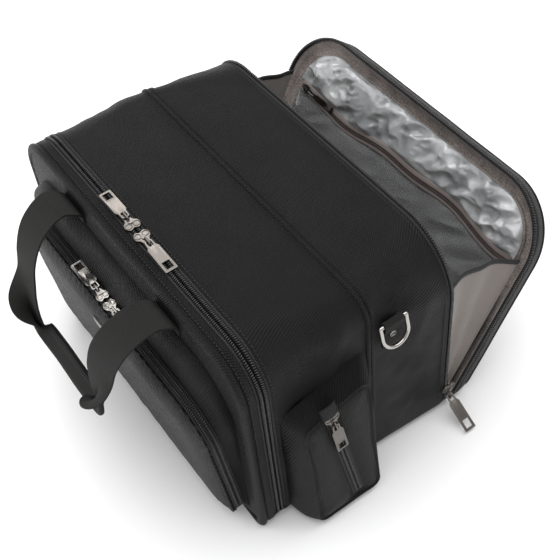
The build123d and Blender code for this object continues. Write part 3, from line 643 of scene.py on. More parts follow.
# ---------------------------------------------------------------- the front pocket
# The pocket stands on the door, deepest at its top. Its gusset is loose and puffs up above its own
# zipper, and its face swells over whatever is inside. A small blank metal badge is pinned to it.
pocket_lean = -5.2529
pocket_back = (0.356, 0.210, 0.050)     # outline on the door
pocket_arch = (0.350, 0.174, 0.045)     # outline at the pocket's zipper
pocket_y, pocket_z = -0.129, 0.016      # foot of its zipper's plane
share = np.linspace(0, 1, 16)
on_door = stand(arch_line(pocket_back), -0.1262, 0.014)
at_zip = stand(arch_line(pocket_arch), pocket_y, pocket_z, pocket_lean)
gusset = np.array([on_door * (1 - s) + at_zip * s for s in share])
high = np.clip((gusset[..., 2] - 0.10) / 0.09, 0, 1)
puff = np.sin(pi * share ** 0.8)[:, None] * (0.0008 + 0.0062 * high)
puff += np.sin(pi * share)[:, None] * (0.0006 + 0.0022 * high) * ripple(gusset, (0.045, 0.03, 0.03), 15)
gusset += outward(gusset) * puff[..., None]
pocket_gusset = skin("pocket_gusset", gusset, twill, wall=0.0011)
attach(pocket_gusset, "front_door")
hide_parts("front_pocket_gusset")

pocket_half = 0.0056
pocket_mouth = (pocket_y, pocket_z, pocket_lean)
pocket_coils = [
    arch_row(pocket_arch, *pocket_mouth, pocket_half + away * 0.0024, inset=0.0001) for away in (-1, 1)
]
pocket_profile = [
    (0.0000, 0.0004), (0.0006, -0.0004), (0.0014, -0.0002), (0.0020, 0.0012), (0.0056, 0.0014),
    (0.0092, 0.0012), (0.0098, -0.0002), (0.0106, -0.0004), (0.0112, 0.0004),
]
pocket_tape = skin(
    "pocket_zip_tape",
    [stand(arch_line(pocket_arch, inset), *pocket_mouth, way) for way, inset in pocket_profile],
    tape,
    wall=0.0006,
)
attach(pocket_tape, "front_door")
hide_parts("front_pocket_zip")
pocket_coil = sewn_row(
    "pocket_coil", pocket_coils, coil, Pitch=0.0022, Along=0.0015, Across=0.0040, Height=0.0026, Slant=0.2
)
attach(pocket_coil, "front_door")


def bump(gap, middle, spread, tall):
    """A rounded ridge that runs along an edge, its middle that far from the edge."""
    return tall * np.exp(-(((gap - middle) / spread) ** 2))


def swell(gap, at):
    """Height of the pocket's face in front of its mouth: a corded edge, a seam, then the belly."""
    cord = bump(gap, 0.0018, 0.0016, 0.0016) - bump(gap, 0.0046, 0.0009, 0.0006)
    belly = 0.0090 * (1 - (1 - np.clip(gap / 0.029, 0, 1)) ** 2.2)
    slack = 0.0004 + 0.0010 * ripple(at, (0.06, 0.05, 0.04), 16)
    return cord + belly + np.clip(gap / 0.02, 0, 1) * slack * (gap > 0)


pocket_face = panel(
    "pocket_face",
    arch_line(pocket_arch, -0.0002),
    (0, 0.087),
    [
        1, 0.997, 0.993, 0.989, 0.984, 0.978, 0.97, 0.96, 0.945, 0.925, 0.9,
        0.87, 0.83, 0.78, 0.72, 0.64, 0.55, 0.45, 0.34, 0.22, 0.1, 0.0,
    ],
    lambda line, ahead: stand(line, *pocket_mouth, 0.0112 + ahead),
    swell,
    twill,
    wall=0.0018,
)
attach(pocket_face, "front_door")
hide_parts("front_pocket_face")
stitches(
    "pocket_face_stitches",
    [arch_row(pocket_arch, *pocket_mouth, 0.0131, inset=0.0060, foot=0.008)],
    "front_door",
)

nickel, nickel_tree, nickel_shader = painted("satin nickel", (0.15, 0.137, 0.126), 0.26, Metallic=1.0)
brushed = nickel_tree.nodes.new("ShaderNodeMapping")
brushed.inputs["Scale"].default_value = (60, 900, 900)
place = nickel_tree.nodes.new("ShaderNodeTexCoord")
hairs = nickel_tree.nodes.new("ShaderNodeTexNoise")
hairs.inputs["Scale"].default_value = 4
nickel_tree.links.new(place.outputs["Object"], brushed.inputs["Vector"])
nickel_tree.links.new(brushed.outputs[0], hairs.inputs["Vector"])
nickel_rough = number(nickel_tree, "MULTIPLY_ADD", hairs.outputs[0], 0.2, 0.2)
nickel_tree.links.new(nickel_rough, nickel_shader.inputs["Roughness"])
relief(nickel_tree, nickel_shader, grain(nickel_tree, 0.0012), 0.00003)
paint_node("badge_plate", nickel)

# ---------------------------------------------------------------- the carry handle
# One length of ribbed nylon webbing, sewn to the door at both ends. Its legs lie flat, and its middle
# is folded in half and stitched into a narrow grip, which leaves a tuck at each lower corner.
webbing = fabric(
    "ribbed webbing", (0.0045, 0.0043, 0.0040), (0.0150, 0.0142, 0.0132),
    roughness=0.75, across=0.0022, along=0.0012, depth=0.0005, twill=0.0, sheen=0.03, gloss=0.22,
)


def smooth_path(points, steps):
    """Points evenly along a Catmull-Rom curve through the given points, each of any width."""
    points = np.array(points, dtype=float)
    ends = np.vstack((2 * points[0] - points[1], points, 2 * points[-1] - points[-2]))
    fine = []
    for k in range(1, len(ends) - 2):
        a, b, c, d = ends[k - 1], ends[k], ends[k + 1], ends[k + 2]
        for s in np.linspace(0, 1, 24, endpoint=False):
            bend, twist = 2 * a - 5 * b + 4 * c - d, 3 * b - a - 3 * c + d
            fine.append(0.5 * (2 * b + (c - a) * s + bend * s * s + twist * s ** 3))
    fine = np.array(fine + [ends[-2]])
    run = np.concatenate(([0], np.cumsum(np.linalg.norm(np.diff(fine[:, :3], axis=0), axis=1))))
    even = np.linspace(0, run[-1], steps)
    return np.array([np.interp(even, run, fine[:, k]) for k in range(fine.shape[1])]).T


def folded_cut(fold, half_width, fold_radius, steps=20):
    """Cross-section of webbing whose outer half is turned by fold radians over its inner half."""
    s = np.linspace(-half_width, half_width, 2 * steps + 1)
    bend = max(fold_radius * fold, 0.0002)
    heading = fold * np.clip((s + bend / 2) / bend, 0, 1)
    step = s[1] - s[0]
    middle = (heading[1:] + heading[:-1]) / 2
    x = np.concatenate(([0], np.cumsum(np.cos(middle) * step)))
    y = np.concatenate(([0], np.cumsum(np.sin(middle) * step)))
    return np.stack((x - x[steps], y - y[steps]), 1)


strap_half, fold_radius = 0.020, 0.0021
# Each station: where the webbing's middle line is, which way its width goes, and how far it is folded.
half_loop = [
    # across, depth, up,         width's direction,   fold
    (0.0860, -0.1284, 0.2270, 1, 0, 0, 0.0),
    (0.0860, -0.1290, 0.2360, 1, 0, 0, 0.0),
    (0.0860, -0.1385, 0.2450, 1, 0, 0, 0.0),
    (0.0858, -0.1480, 0.2492, 1, 0, 0, 0.0),
    (0.0840, -0.1620, 0.2462, 1, 0.02, 0, 0.0),
    (0.0805, -0.1780, 0.2350, 1, 0.06, 0.02, 0.0),
    (0.0755, -0.1910, 0.2160, 1, 0.10, 0.06, 0.0),
    (0.0720, -0.1990, 0.1930, 1, 0.04, 0.02, 0.0),
    (0.0715, -0.2025, 0.1760, 1, 0.0, 0.0, 0.14),
    (0.0710, -0.2045, 0.1610, 1, 0, 0.0, 0.52),
    (0.0705, -0.2060, 0.1480, 1, 0, 0.0, 0.90),
    (0.0695, -0.2075, 0.1370, 0.97, -0.1, -0.15, 1.0),
    (0.0660, -0.2085, 0.1285, 0.75, -0.35, -0.45, 1.0),
    (0.0590, -0.2090, 0.1230, 0.4, -0.55, -0.6, 1.0),
    (0.0450, -0.2090, 0.1205, 0.1, -0.62, -0.62, 1.0),
    (0.0250, -0.2090, 0.1200, 0, -0.62, -0.62, 1.0),
    (0.0000, -0.2090, 0.1200, 0, -0.62, -0.62, 1.0),
]
other_half = [(-x, y, z, -a, b, c, f) for x, y, z, a, b, c, f in half_loop[-2::-1]]
loop = smooth_path(half_loop + other_half, 300)
ways = np.gradient(loop[:, :3], axis=0)
ways /= np.linalg.norm(ways, axis=1)[:, None]
strap_rings = []
for at, way, turn in zip(loop, ways, loop[:, 3:7]):
    across = Vector(turn[:3])
    across -= Vector(way) * across.dot(Vector(way))
    across.normalize()
    front = Vector(way).cross(across)
    if front.y > 0 or (abs(front.y) < 0.2 and front.z < 0):
        front.negate()
    cut = folded_cut(min(turn[3], 1.0) * pi, strap_half, fold_radius)
    strap_rings.append(np.array(at[:3]) + np.outer(cut[:, 0], across) + np.outer(cut[:, 1] - 0.0004, front))
strap_rings = np.array(strap_rings)
wave = 0.0009 * ripple(strap_rings, (0.05, 0.05, 0.05), 21)
strap_rings[..., 1] -= wave * np.clip((0.245 - strap_rings[..., 2]) / 0.03, 0, 1)
handle = skin("handle_webbing", strap_rings, webbing, closed=False)
thicken(handle, 0.0019, offset=0)
soften(handle, 0.0006)
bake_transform(handle)
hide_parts("handle_roots", "carry_handle")

grip_rows = []
for y, z in ((-0.2096, 0.1262), (-0.2011, 0.1347)):
    line = np.array([(x, y, z) for x in np.linspace(-0.042, 0.042, 60)])
    grip_rows.append((line, np.tile((0.0, -0.707, 0.707), (60, 1))))
stitches("grip_stitches", grip_rows, "carry_handle")

# ---------------------------------------------------------------- the rear zipper and the flap's shell
# The rear wall is a flap that unzips down both ends and hangs from the bottom edge. It is a shallow
# tray of foam between twill and lining, with its half of the rear zipper round the rim.
hinge_y, flap_lean = 0.1105, 30.4
tilt = radians(flap_lean)
ahead = np.array((0, -cos(tilt), sin(tilt)))     # out of the open flap's inside
ahead_and_up = (0, -1, 0.5)


def on_flap(line, level=0.0):
    """An (across, up) line on the open flap, level in front of its zipper's plane."""
    return stand(line, hinge_y, 0, flap_lean, level)


rear_pitch = 0.0026
zipper_half("rear_body", rear_arch, hinge_y, 0, 0, 1, "bag_body", "rear_zip_body", 0.0075, rear_pitch)
zipper_half("flap", rear_arch, hinge_y, 0, flap_lean, -1, "rear_flap", "flap_zip", pitch=rear_pitch)
body_edges = [
    arch_row(front_arch, body_front_y + 0.0030, inset=-0.0001, foot=0.02),
    arch_row(rear_arch, body_rear_y - 0.0030, inset=-0.0001, foot=0.02),
]
stitches("body_edge_stitches", body_edges, "bag_body")


def flap_ring(back, inset):
    """Outline of the flap at one depth behind its zipper, its foot clear of the floor."""
    taper = 0.003 * (back - 0.007) / 0.016
    size = (rear_arch[0] - 2 * taper, rear_arch[1] - taper, rear_arch[2])
    lift = 0.0015 + max(back, 0.007) * tan(tilt)
    return on_flap(arch_line(size, inset, lift), -back)


flap_profile = [
    (0.0068, 0.0046), (0.0068, 0.0008), (0.0074, -0.0003), (0.0100, -0.0006), (0.0150, -0.0007),
    (0.0190, -0.0006), (0.0206, 0.0002), (0.0211, 0.0012), (0.0216, 0.0001), (0.0228, -0.0010),
    (0.0242, -0.0008), (0.0252, 0.0008), (0.0254, 0.0030),
]
flap_rings = np.array([flap_ring(back, inset) for back, inset in flap_profile])
flap_slack = 0.0005 * ripple(flap_rings[3:], (0.05, 0.03, 0.05), 31)
flap_rings[3:] += outward(flap_rings)[3:] * flap_slack[..., None]
flap_band = skin("flap_band", flap_rings, twill, wall=0.0012)
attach(flap_band, "rear_flap")
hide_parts("flap_rim")

flap_size = (rear_arch[0] - 0.006, rear_arch[1] - 0.003, rear_arch[2])
flap_lift = 0.0015 + 0.023 * tan(tilt)
flap_back = panel(
    "flap_padding",
    arch_line(flap_size, 0.0028, flap_lift),
    (0, 0.13),
    edge_to_middle,
    lambda line, ahead: on_flap(line, -0.0242 - ahead),
    lambda gap, at: 0.0014 * (1 - np.exp(-gap / 0.010)) + 0.0004 * ripple(at, 0.06, 32),
    twill,
    wall=0.0028,
    away=(0, 1, 0),
)
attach(flap_back, "rear_flap")
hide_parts("flap_panel")

# The flap's lining is a soft heathered cloth. It is turned in under the zipper tape and lies loose on
# the foam, so its wide border shows small dimples.
heather, heather_tree, heather_shader = painted(
    "heathered lining", (0.12, 0.105, 0.098), 0.9,
    Specular_IOR_Level=0.2, Sheen_Weight=0.25, Sheen_Roughness=0.5,
)
fleck = number(
    heather_tree, "MULTIPLY_ADD", grain(heather_tree, 0.0016, 5), 0.7,
    number(heather_tree, "MULTIPLY", grain(heather_tree, 0.02, 3), 0.3),
)
flecked = number(heather_tree, "MULTIPLY_ADD", fleck, 3.2, -1.1)
heather_colour = shade(heather_tree, flecked, (0.075, 0.062, 0.056), (0.33, 0.285, 0.265))
heather_tree.links.new(heather_colour, heather_shader.inputs["Base Color"])
relief(heather_tree, heather_shader, fleck, 0.0005)
tray_profile = [
    (0.0062, 0.0018), (0.0064, 0.0040), (0.0074, 0.0056), (0.0104, 0.0066), (0.0126, 0.0084), (0.0136, 0.0120)
]
tray = [flap_ring(back, inset) for back, inset in tray_profile]
floor_edge = arch_line(rear_arch, 0.0120, 0.0085)
tray += [on_flap(ring, -0.0138) for ring in to_middle(floor_edge, np.array((0, 0.13)), edge_to_middle[2:])]
tray = np.array(tray)
dimple = 0.0012 * ripple(tray[3:], 0.022, 33) + 0.0010 * ripple(tray[3:], 0.05, 34)
tray[3:, :, 1] -= dimple * cos(tilt)
tray[3:, :, 2] += dimple * sin(tilt)
flap_inside = skin("flap_inside_cloth", tray, heather, wall=0.0007, flat=True, away=ahead_and_up)
close_middle(flap_inside)
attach(flap_inside, "rear_flap")
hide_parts("flap_lining")

# ---------------------------------------------------------------- the clear pocket
# Inside the flap is a pocket for papers: a sheet of black lining behind two sheets of clear vinyl,
# which are sewn round the edge and to a grey zipper. The upper one is milky with creases that have set
# in from being folded, and white streaks painted into its colour stand in for highlights along them;
# the lower one is smooth and clear.
backing = fabric(
    "black backing", (0.012, 0.0115, 0.0125), (0.022, 0.021, 0.023),
    roughness=0.55, across=0.0007, along=0.0007, depth=0.00005, twill=0.0, sheen=0.1,
)
vinyl_inset, vinyl_wall = 0.0185, 0.00035
backing_line = arch_line(rear_arch, vinyl_inset, 0.006)


def backing_rise(gap, at):
    """How far the backing sheet stands off the lining: held at its edge, slack inside it."""
    slack = 0.0008 + 0.0010 * ripple(at, 0.05, 35)
    return np.clip(gap / 0.02, 0, 1) * slack - 0.0008 * np.exp(-gap / 0.004)


backing_sheet = panel(
    "backing_sheet",
    backing_line,
    (0, 0.13),
    edge_to_middle,
    lambda line, ahead: on_flap(line, -0.0118 + ahead),
    backing_rise,
    backing,
    wall=0.0006,
    away=ahead_and_up,
)
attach(backing_sheet, "rear_flap")
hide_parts("backing_panel")

binding = fabric(
    "black binding", (0.008, 0.008, 0.0085), (0.02, 0.02, 0.021),
    roughness=0.7, across=0.0009, along=0.0014, depth=0.0002, twill=0.0, sheen=0.08,
)
edge_profile = [(-0.0012, -0.0124), (-0.0010, -0.0110), (0.0, -0.0103), (0.0014, -0.0105), (0.0018, -0.0118)]
pocket_edge = skin(
    "clear_pocket_edging",
    [
        on_flap(arch_line(rear_arch, vinyl_inset + way, 0.006), level)
        for way, level in edge_profile
    ],
    heather,
    wall=0.0005,
    away=ahead_and_up,
)
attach(pocket_edge, "rear_flap")
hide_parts("clear_pocket_binding")
end_strip = []
for up in np.linspace(0.02, 0.135, 40):
    middle = 0.1800 + 0.0006 * sin(up * 90)
    end_strip.append([(middle + way, up) for way in (-0.0042, -0.0034, 0.0, 0.0034, 0.0042)])
strip_levels = np.array((-0.0102, -0.0090, -0.0082, -0.0090, -0.0102))
strip_rings = np.array([on_flap(np.array(row)) for row in end_strip])
strip_rings += strip_levels[None, :, None] * ahead
end_binding = skin("pocket_end_binding", strip_rings, binding, closed=False, wall=0.0006, away=ahead_and_up)
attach(end_binding, "rear_flap")

vinyl, vinyl_tree, vinyl_shader = painted(
    "clear vinyl", (0.86, 0.87, 0.88), 0.09, Transmission_Weight=0.60, IOR=1.49, Specular_IOR_Level=0.9
)
# Noise that varies the sheet's roughness and also paints white streaks into its colour, as painted highlights
# along its creases.
haze_and_highlight = grain(vinyl_tree, 0.03, 4)
painted_highlight = number(vinyl_tree, "MULTIPLY_ADD", haze_and_highlight, 3.2, -1.15)
# Painted highlight: the light end of this colour stands in for the lamps' reflections on the creases.
vinyl_painted_highlight_colour = shade(vinyl_tree, painted_highlight, (0.42, 0.43, 0.44), (0.95, 0.96, 0.97))
vinyl_tree.links.new(vinyl_painted_highlight_colour, vinyl_shader.inputs["Base Color"])
vinyl_tree.links.new(number(vinyl_tree, "MULTIPLY_ADD", haze_and_highlight, 0.22, 0.0), vinyl_shader.inputs["Roughness"])
relief(vinyl_tree, vinyl_shader, grain(vinyl_tree, 0.009, 2), 0.0006)
smooth_vinyl, smooth_tree, smooth_shader = painted(
    "smooth clear vinyl", (0.80, 0.81, 0.82), 0.12, Transmission_Weight=0.88, IOR=1.49, Specular_IOR_Level=0.9
)
relief(smooth_tree, smooth_shader, grain(smooth_tree, 0.02, 2), 0.0012)


def crumple(points, seed):
    """Set-in creases of a clear sheet: sharp ridges that run across and down it, over soft swells."""
    lean = points[..., 0] * 0.86 + points[..., 2] * 0.5
    cross = points[..., 2] * 0.86 - points[..., 0] * 0.5
    turned = np.stack((lean, cross, points[..., 1] * 0.2), -1)
    sharp = (1 - np.abs(ripple(turned, (0.060, 0.017, 0.05), seed)) * 2.6) * 0.95
    steep = (1 - np.abs(ripple(turned, (0.020, 0.045, 0.05), seed + 3)) * 2.6) * 0.55
    fine = (1 - np.abs(ripple(turned, (0.015, 0.008, 0.05), seed + 1)) * 2.2) * 0.26
    return sharp + steep + fine + 0.7 * ripple(points, 0.06, seed + 2)


clear_pivot = next(j for j in frame["joints"] if j["name"] == "clear_pull_swing")["pos_m"]
zip_up = (clear_pivot[1] - hinge_y) * sin(tilt) + clear_pivot[2] * cos(tilt)
vinyl_half = rear_arch[0] / 2 - vinyl_inset
columns = vinyl_half * np.sin(np.linspace(-pi / 2, pi / 2, 231))
corner = rear_arch[2] - vinyl_inset
high = rear_arch[1] - vinyl_inset
round_corner = np.clip(np.abs(columns) - (vinyl_half - corner), 0, None)
roof = high - corner + np.sqrt(np.clip(corner**2 - round_corner**2, 0, None))
zip_line = zip_up + 0.0045 * np.sin(columns * 21 + 0.6) - 0.0020 * np.sin(columns * 55)
floor_line = np.full_like(columns, 0.0235)
sheets = (
    # name, node, material, lower and upper edges, rows, seed, swells, creases
    ("vinyl_upper", "clear_window_upper", vinyl, zip_line + 0.0050, roof, 60, 41, 0.0040, 0.0125),
    (
        "vinyl_lower", "clear_window_lower", smooth_vinyl, floor_line, zip_line - 0.0050,
        110, 47, 0.0026, 0.0042,
    ),
)
for name, node, clear, low, top, rows, seed, swells, creases in sheets:
    rings, edges = [], []
    for s in np.linspace(0, 1, rows):
        up = low + (top - low) * s
        rings.append(on_flap(np.stack((columns, up), 1), -0.0104))
        edges.append(np.minimum(vinyl_half - np.abs(columns), np.minimum(up - low, top - up)))
    rings, edges = np.array(rings), np.array(edges)
    free = 1 - np.exp(-np.clip(edges, 0, None) / 0.007)
    level = free * (swells + creases * np.clip(crumple(rings, seed), -0.9, 1.3) * 0.55) + 0.0010 * (1 - free)
    near_zip = np.exp(-np.abs(rings[..., 2] / cos(tilt) - zip_line[None, :]) / 0.010)
    level = np.clip(level + 0.0022 * near_zip, 0.0004, 0.0096)
    rings += level[..., None] * ahead
    sheet = skin(name, rings, clear, closed=False, away=ahead_and_up)
    thicken(sheet, vinyl_wall)
    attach(sheet, "rear_flap")
    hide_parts(node)

grey_tape = fabric(
    "grey zipper tape", (0.13, 0.108, 0.100), (0.23, 0.198, 0.184),
    roughness=0.7, across=0.0009, along=0.0013, depth=0.0002, twill=0.0, sheen=0.15,
)
grey_coil, grey_tree, grey_shader = painted("plum coil", (0.030, 0.018, 0.018), 0.4)
relief(grey_tree, grey_shader, grain(grey_tree, 0.0007), 0.00006)
level_at_zip = -0.0104 + 0.0048


def along_zip(way, lift, at_ends):
    """The clear pocket's zipper line, way up from its middle and lift off it, sunk at both ends."""
    wave = 0.0012 * np.sin(columns * 38 + 1)
    fall = np.clip((vinyl_half - np.abs(columns)) / 0.02, 0, 1) ** 0.5
    rise = (level_at_zip + lift + wave) * fall + (1 - fall) * at_ends
    return on_flap(np.stack((columns, zip_line + way), 1)) + rise[:, None] * ahead


tape_rows = []
for way, lift in even([(-0.0066, -0.0006), (-0.0058, 0.0), (-0.0046, 0.0003), (-0.0020, 0.0001), (0.0, 0.0)]):
    tape_rows.append(along_zip(way, lift, -0.0100))
clear_tape = skin("clear_zip_tape", tape_rows, grey_tape, closed=False, wall=0.0006, away=ahead_and_up)
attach(clear_tape, "rear_flap")
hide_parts("clear_zip")
clear_rows = []
for way in (-0.0013, 0.0013):
    points = along_zip(way, 0.0006, -0.0096)[np.abs(columns) < vinyl_half - 0.006]
    clear_rows.append((points, np.tile(ahead, (len(points), 1))))
clear_coil = sewn_row(
    "clear_zip_coil", clear_rows, grey_coil, Pitch=0.0017, Along=0.0014, Across=0.0024, Height=0.0016
)
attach(clear_coil, "rear_flap")

# ---------------------------------------------------------------- the gussets and the fabric hinges
# A fan of lining cloth at each end stops the flap from falling open. Its top edge is bound in black.
# The bottom edges of the door and of the flap are plain twill, where the bag hinges; each is one fixed strip
# here.
gusset_cloth = fabric(
    "gusset cloth", (0.15, 0.130, 0.118), (0.25, 0.218, 0.202),
    roughness=0.78, across=0.0010, along=0.0008, depth=0.0001, twill=0.0, sheen=0.3,
)
binding_cut = [(-0.0042, 0.0010), (0.0002, 0.0012), (0.0010, 0.0), (0.0002, -0.0012), (-0.0042, -0.0010)]
for side, end in ((-1, "left"), (1, "right")):
    rows = []
    for up in np.linspace(0.022, 0.184, 42):
        row = []
        for s in np.linspace(0, 1, 26):
            angle = tilt * s
            sag = sin(pi * s) * (0.0030 + 0.0050 * (up / 0.184))
            fold = 0.0022 * cos(4 * pi * s) * sin(pi * s) * (up / 0.184)
            row.append((side * (0.1885 - sag + fold), hinge_y + up * sin(angle) * 0.998, up * cos(angle)))
        rows.append(row)
    rows = np.array(rows)
    free = np.sin(pi * np.linspace(0, 1, 26))[None, :]
    rows[..., 0] += side * 0.0010 * ripple(rows, 0.025, 51 + side) * free
    fan = skin(f"gusset_{end}", rows, gusset_cloth, closed=False, away=(side, 0, 0))
    thicken(fan, 0.0007)
    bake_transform(fan)
    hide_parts("side_gussets")
    trim = []
    for k, point in enumerate(rows[-1]):
        radial = np.array((0, sin(tilt * k / 25), cos(tilt * k / 25)))
        trim.append([
            point + radial * along + np.array((side * out, 0, 0))
            for along, out in binding_cut
        ])
    trim = skin(f"gusset_binding_{end}", np.array(trim), binding, closed=True)
    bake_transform(trim)

for name, node, size, a, b, child in (
    ("door_bottom_hinge", "door_hinge", front_arch, body_front_y, -0.1100, "front_door"),
    ("flap_bottom_hinge", "flap_hinge", rear_arch, body_rear_y, 0.1175, "rear_flap"),
):
    line = arch_line(size)
    low = np.roll(line, 60, 0)
    low = low[:120]
    low = low[low[:, 1] <= 0.0158]
    rings = []
    for s in np.linspace(0, 1, 12):
        ring = stand(low, a + (b - a) * s)
        ring[:, 2] += 0.0002
        inset = 0.0006 * sin(pi * s)
        ring[:, 0] -= np.sign(ring[:, 0]) * inset
        ring[:, 2] += inset
        rings.append(ring)
    foot = skin(name, rings, twill, closed=False, wall=0.0014, away=(0, 0, -1))
    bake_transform(foot)
    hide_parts(node)

# The sleeve on the flap's back slips over the handle of a rolling case. It is a flat band of twill,
# sewn down both sides, with turned hems above and below.
sleeve_rows = []
profile = [(-0.115, 0.0), (-0.1146, 0.0030), (-0.1120, 0.0066), (-0.1060, 0.0086)]
profile += [(x, 0.0092) for x in np.linspace(-0.098, 0.098, 40)]
profile += [(-x, level) for x, level in profile[3::-1]]
for up in (0.0700, 0.0703, 0.0712, *np.linspace(0.0725, 0.1775, 36), 0.1788, 0.1797, 0.1800):
    hem = 0.0007 if up < 0.0720 or up > 0.1780 else 0.0
    sleeve_rows.append([(x, up, level + hem * (level > 0.008)) for x, level in profile])
sleeve_rows = np.array(sleeve_rows)
flat_rows = np.array([on_flap(row[:, :2], -0.0258) for row in sleeve_rows])
slack = 0.0008 * ripple(flat_rows, 0.035, 61) * (sleeve_rows[..., 2] > 0.008)
flat_rows -= (sleeve_rows[..., 2] + slack)[..., None] * ahead
sleeve = skin("trolley_sleeve_cloth", flat_rows, twill, closed=False, away=(0, 1, -0.5))
thicken(sleeve, 0.0014)
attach(sleeve, "rear_flap")
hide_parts("trolley_sleeve")
hem_rows = []
for up in (0.0755, 0.1745):
    line = np.stack((np.linspace(-0.100, 0.100, 50), np.full(50, up)), 1)
    points = on_flap(line, -0.0258 - 0.0094)
    hem_rows.append((points, np.tile(-ahead, (50, 1))))
stitches("sleeve_stitches", hem_rows, "rear_flap")

# ---------------------------------------------------------------- the pockets on the two ends
# Each end has a pocket of twill that flares towards its foot, closed by a slanted zipper in its face.
# It is sewn round its base, and its soft panels stand proud on each side of the zipper.
end_in, end_y, end_z = 0.19614, -0.091, 0.003
end_length, end_tall, end_rise = 0.100, 0.183, 0.020
end_taper, end_flare = radians(1.856), radians(5.307)


def rounded_line(corners, radius, steps=14, turns=7):
    """Points round a polygon with rounded corners, as many for every size."""
    corners = [np.array(c, dtype=float) for c in corners]
    starts, ends, middles = [], [], []
    for k, corner in enumerate(corners):
        a, b = corners[k - 1] - corner, corners[(k + 1) % len(corners)] - corner
        a, b = a / np.linalg.norm(a), b / np.linalg.norm(b)
        half = np.arccos(np.clip(a @ b, -1, 1)) / 2
        reach = radius / np.tan(half)
        starts.append(corner + a * reach)
        ends.append(corner + b * reach)
        middles.append(corner + (a + b) / np.linalg.norm(a + b) * radius / np.sin(half))
    line = []
    for k in range(len(corners)):
        first = atan2(*(starts[k] - middles[k])[::-1])
        last = atan2(*(ends[k] - middles[k])[::-1])
        sweep = (last - first + pi) % (2 * pi) - pi
        line.extend(
            middles[k] + radius * np.array((cos(first + sweep * t / turns), sin(first + sweep * t / turns)))
            for t in range(turns)
        )
        onward = starts[(k + 1) % len(corners)]
        line.extend(ends[k] + (onward - ends[k]) * t / steps for t in range(steps))
    return np.array(line)


def end_outline(slope, radius):
    """Outline of the end pocket, slope smaller all round, its top edge rising to the rear."""
    low, length, tall = 0.2 * slope, end_length - slope, end_tall - slope
    return rounded_line([(slope, low), (length, low), (length, tall), (slope, tall - end_rise)], radius)


zip_from = np.array((0.0412, 0.158))
zip_way = np.array((sin(radians(8)), -cos(radians(8))))
zip_long = 0.144


def from_zip(points):
    """Distance of 2-D points from the end pocket's zipper."""
    run = np.clip((points - zip_from) @ zip_way, 0, zip_long)
    return np.linalg.norm(points - zip_from - run[..., None] * zip_way, axis=-1)


def on_face(points, level, side):
    """(along, up) points on the end pocket's face, level out from it, on one end of the bag."""
    x = end_in + 0.032 - np.sin(end_flare) * points[..., 1] + np.cos(end_flare) * level
    y = end_y + points[..., 0]
    z = end_z + np.cos(end_flare) * points[..., 1] + np.sin(end_flare) * level
    return np.stack((side * x, y, z), -1)


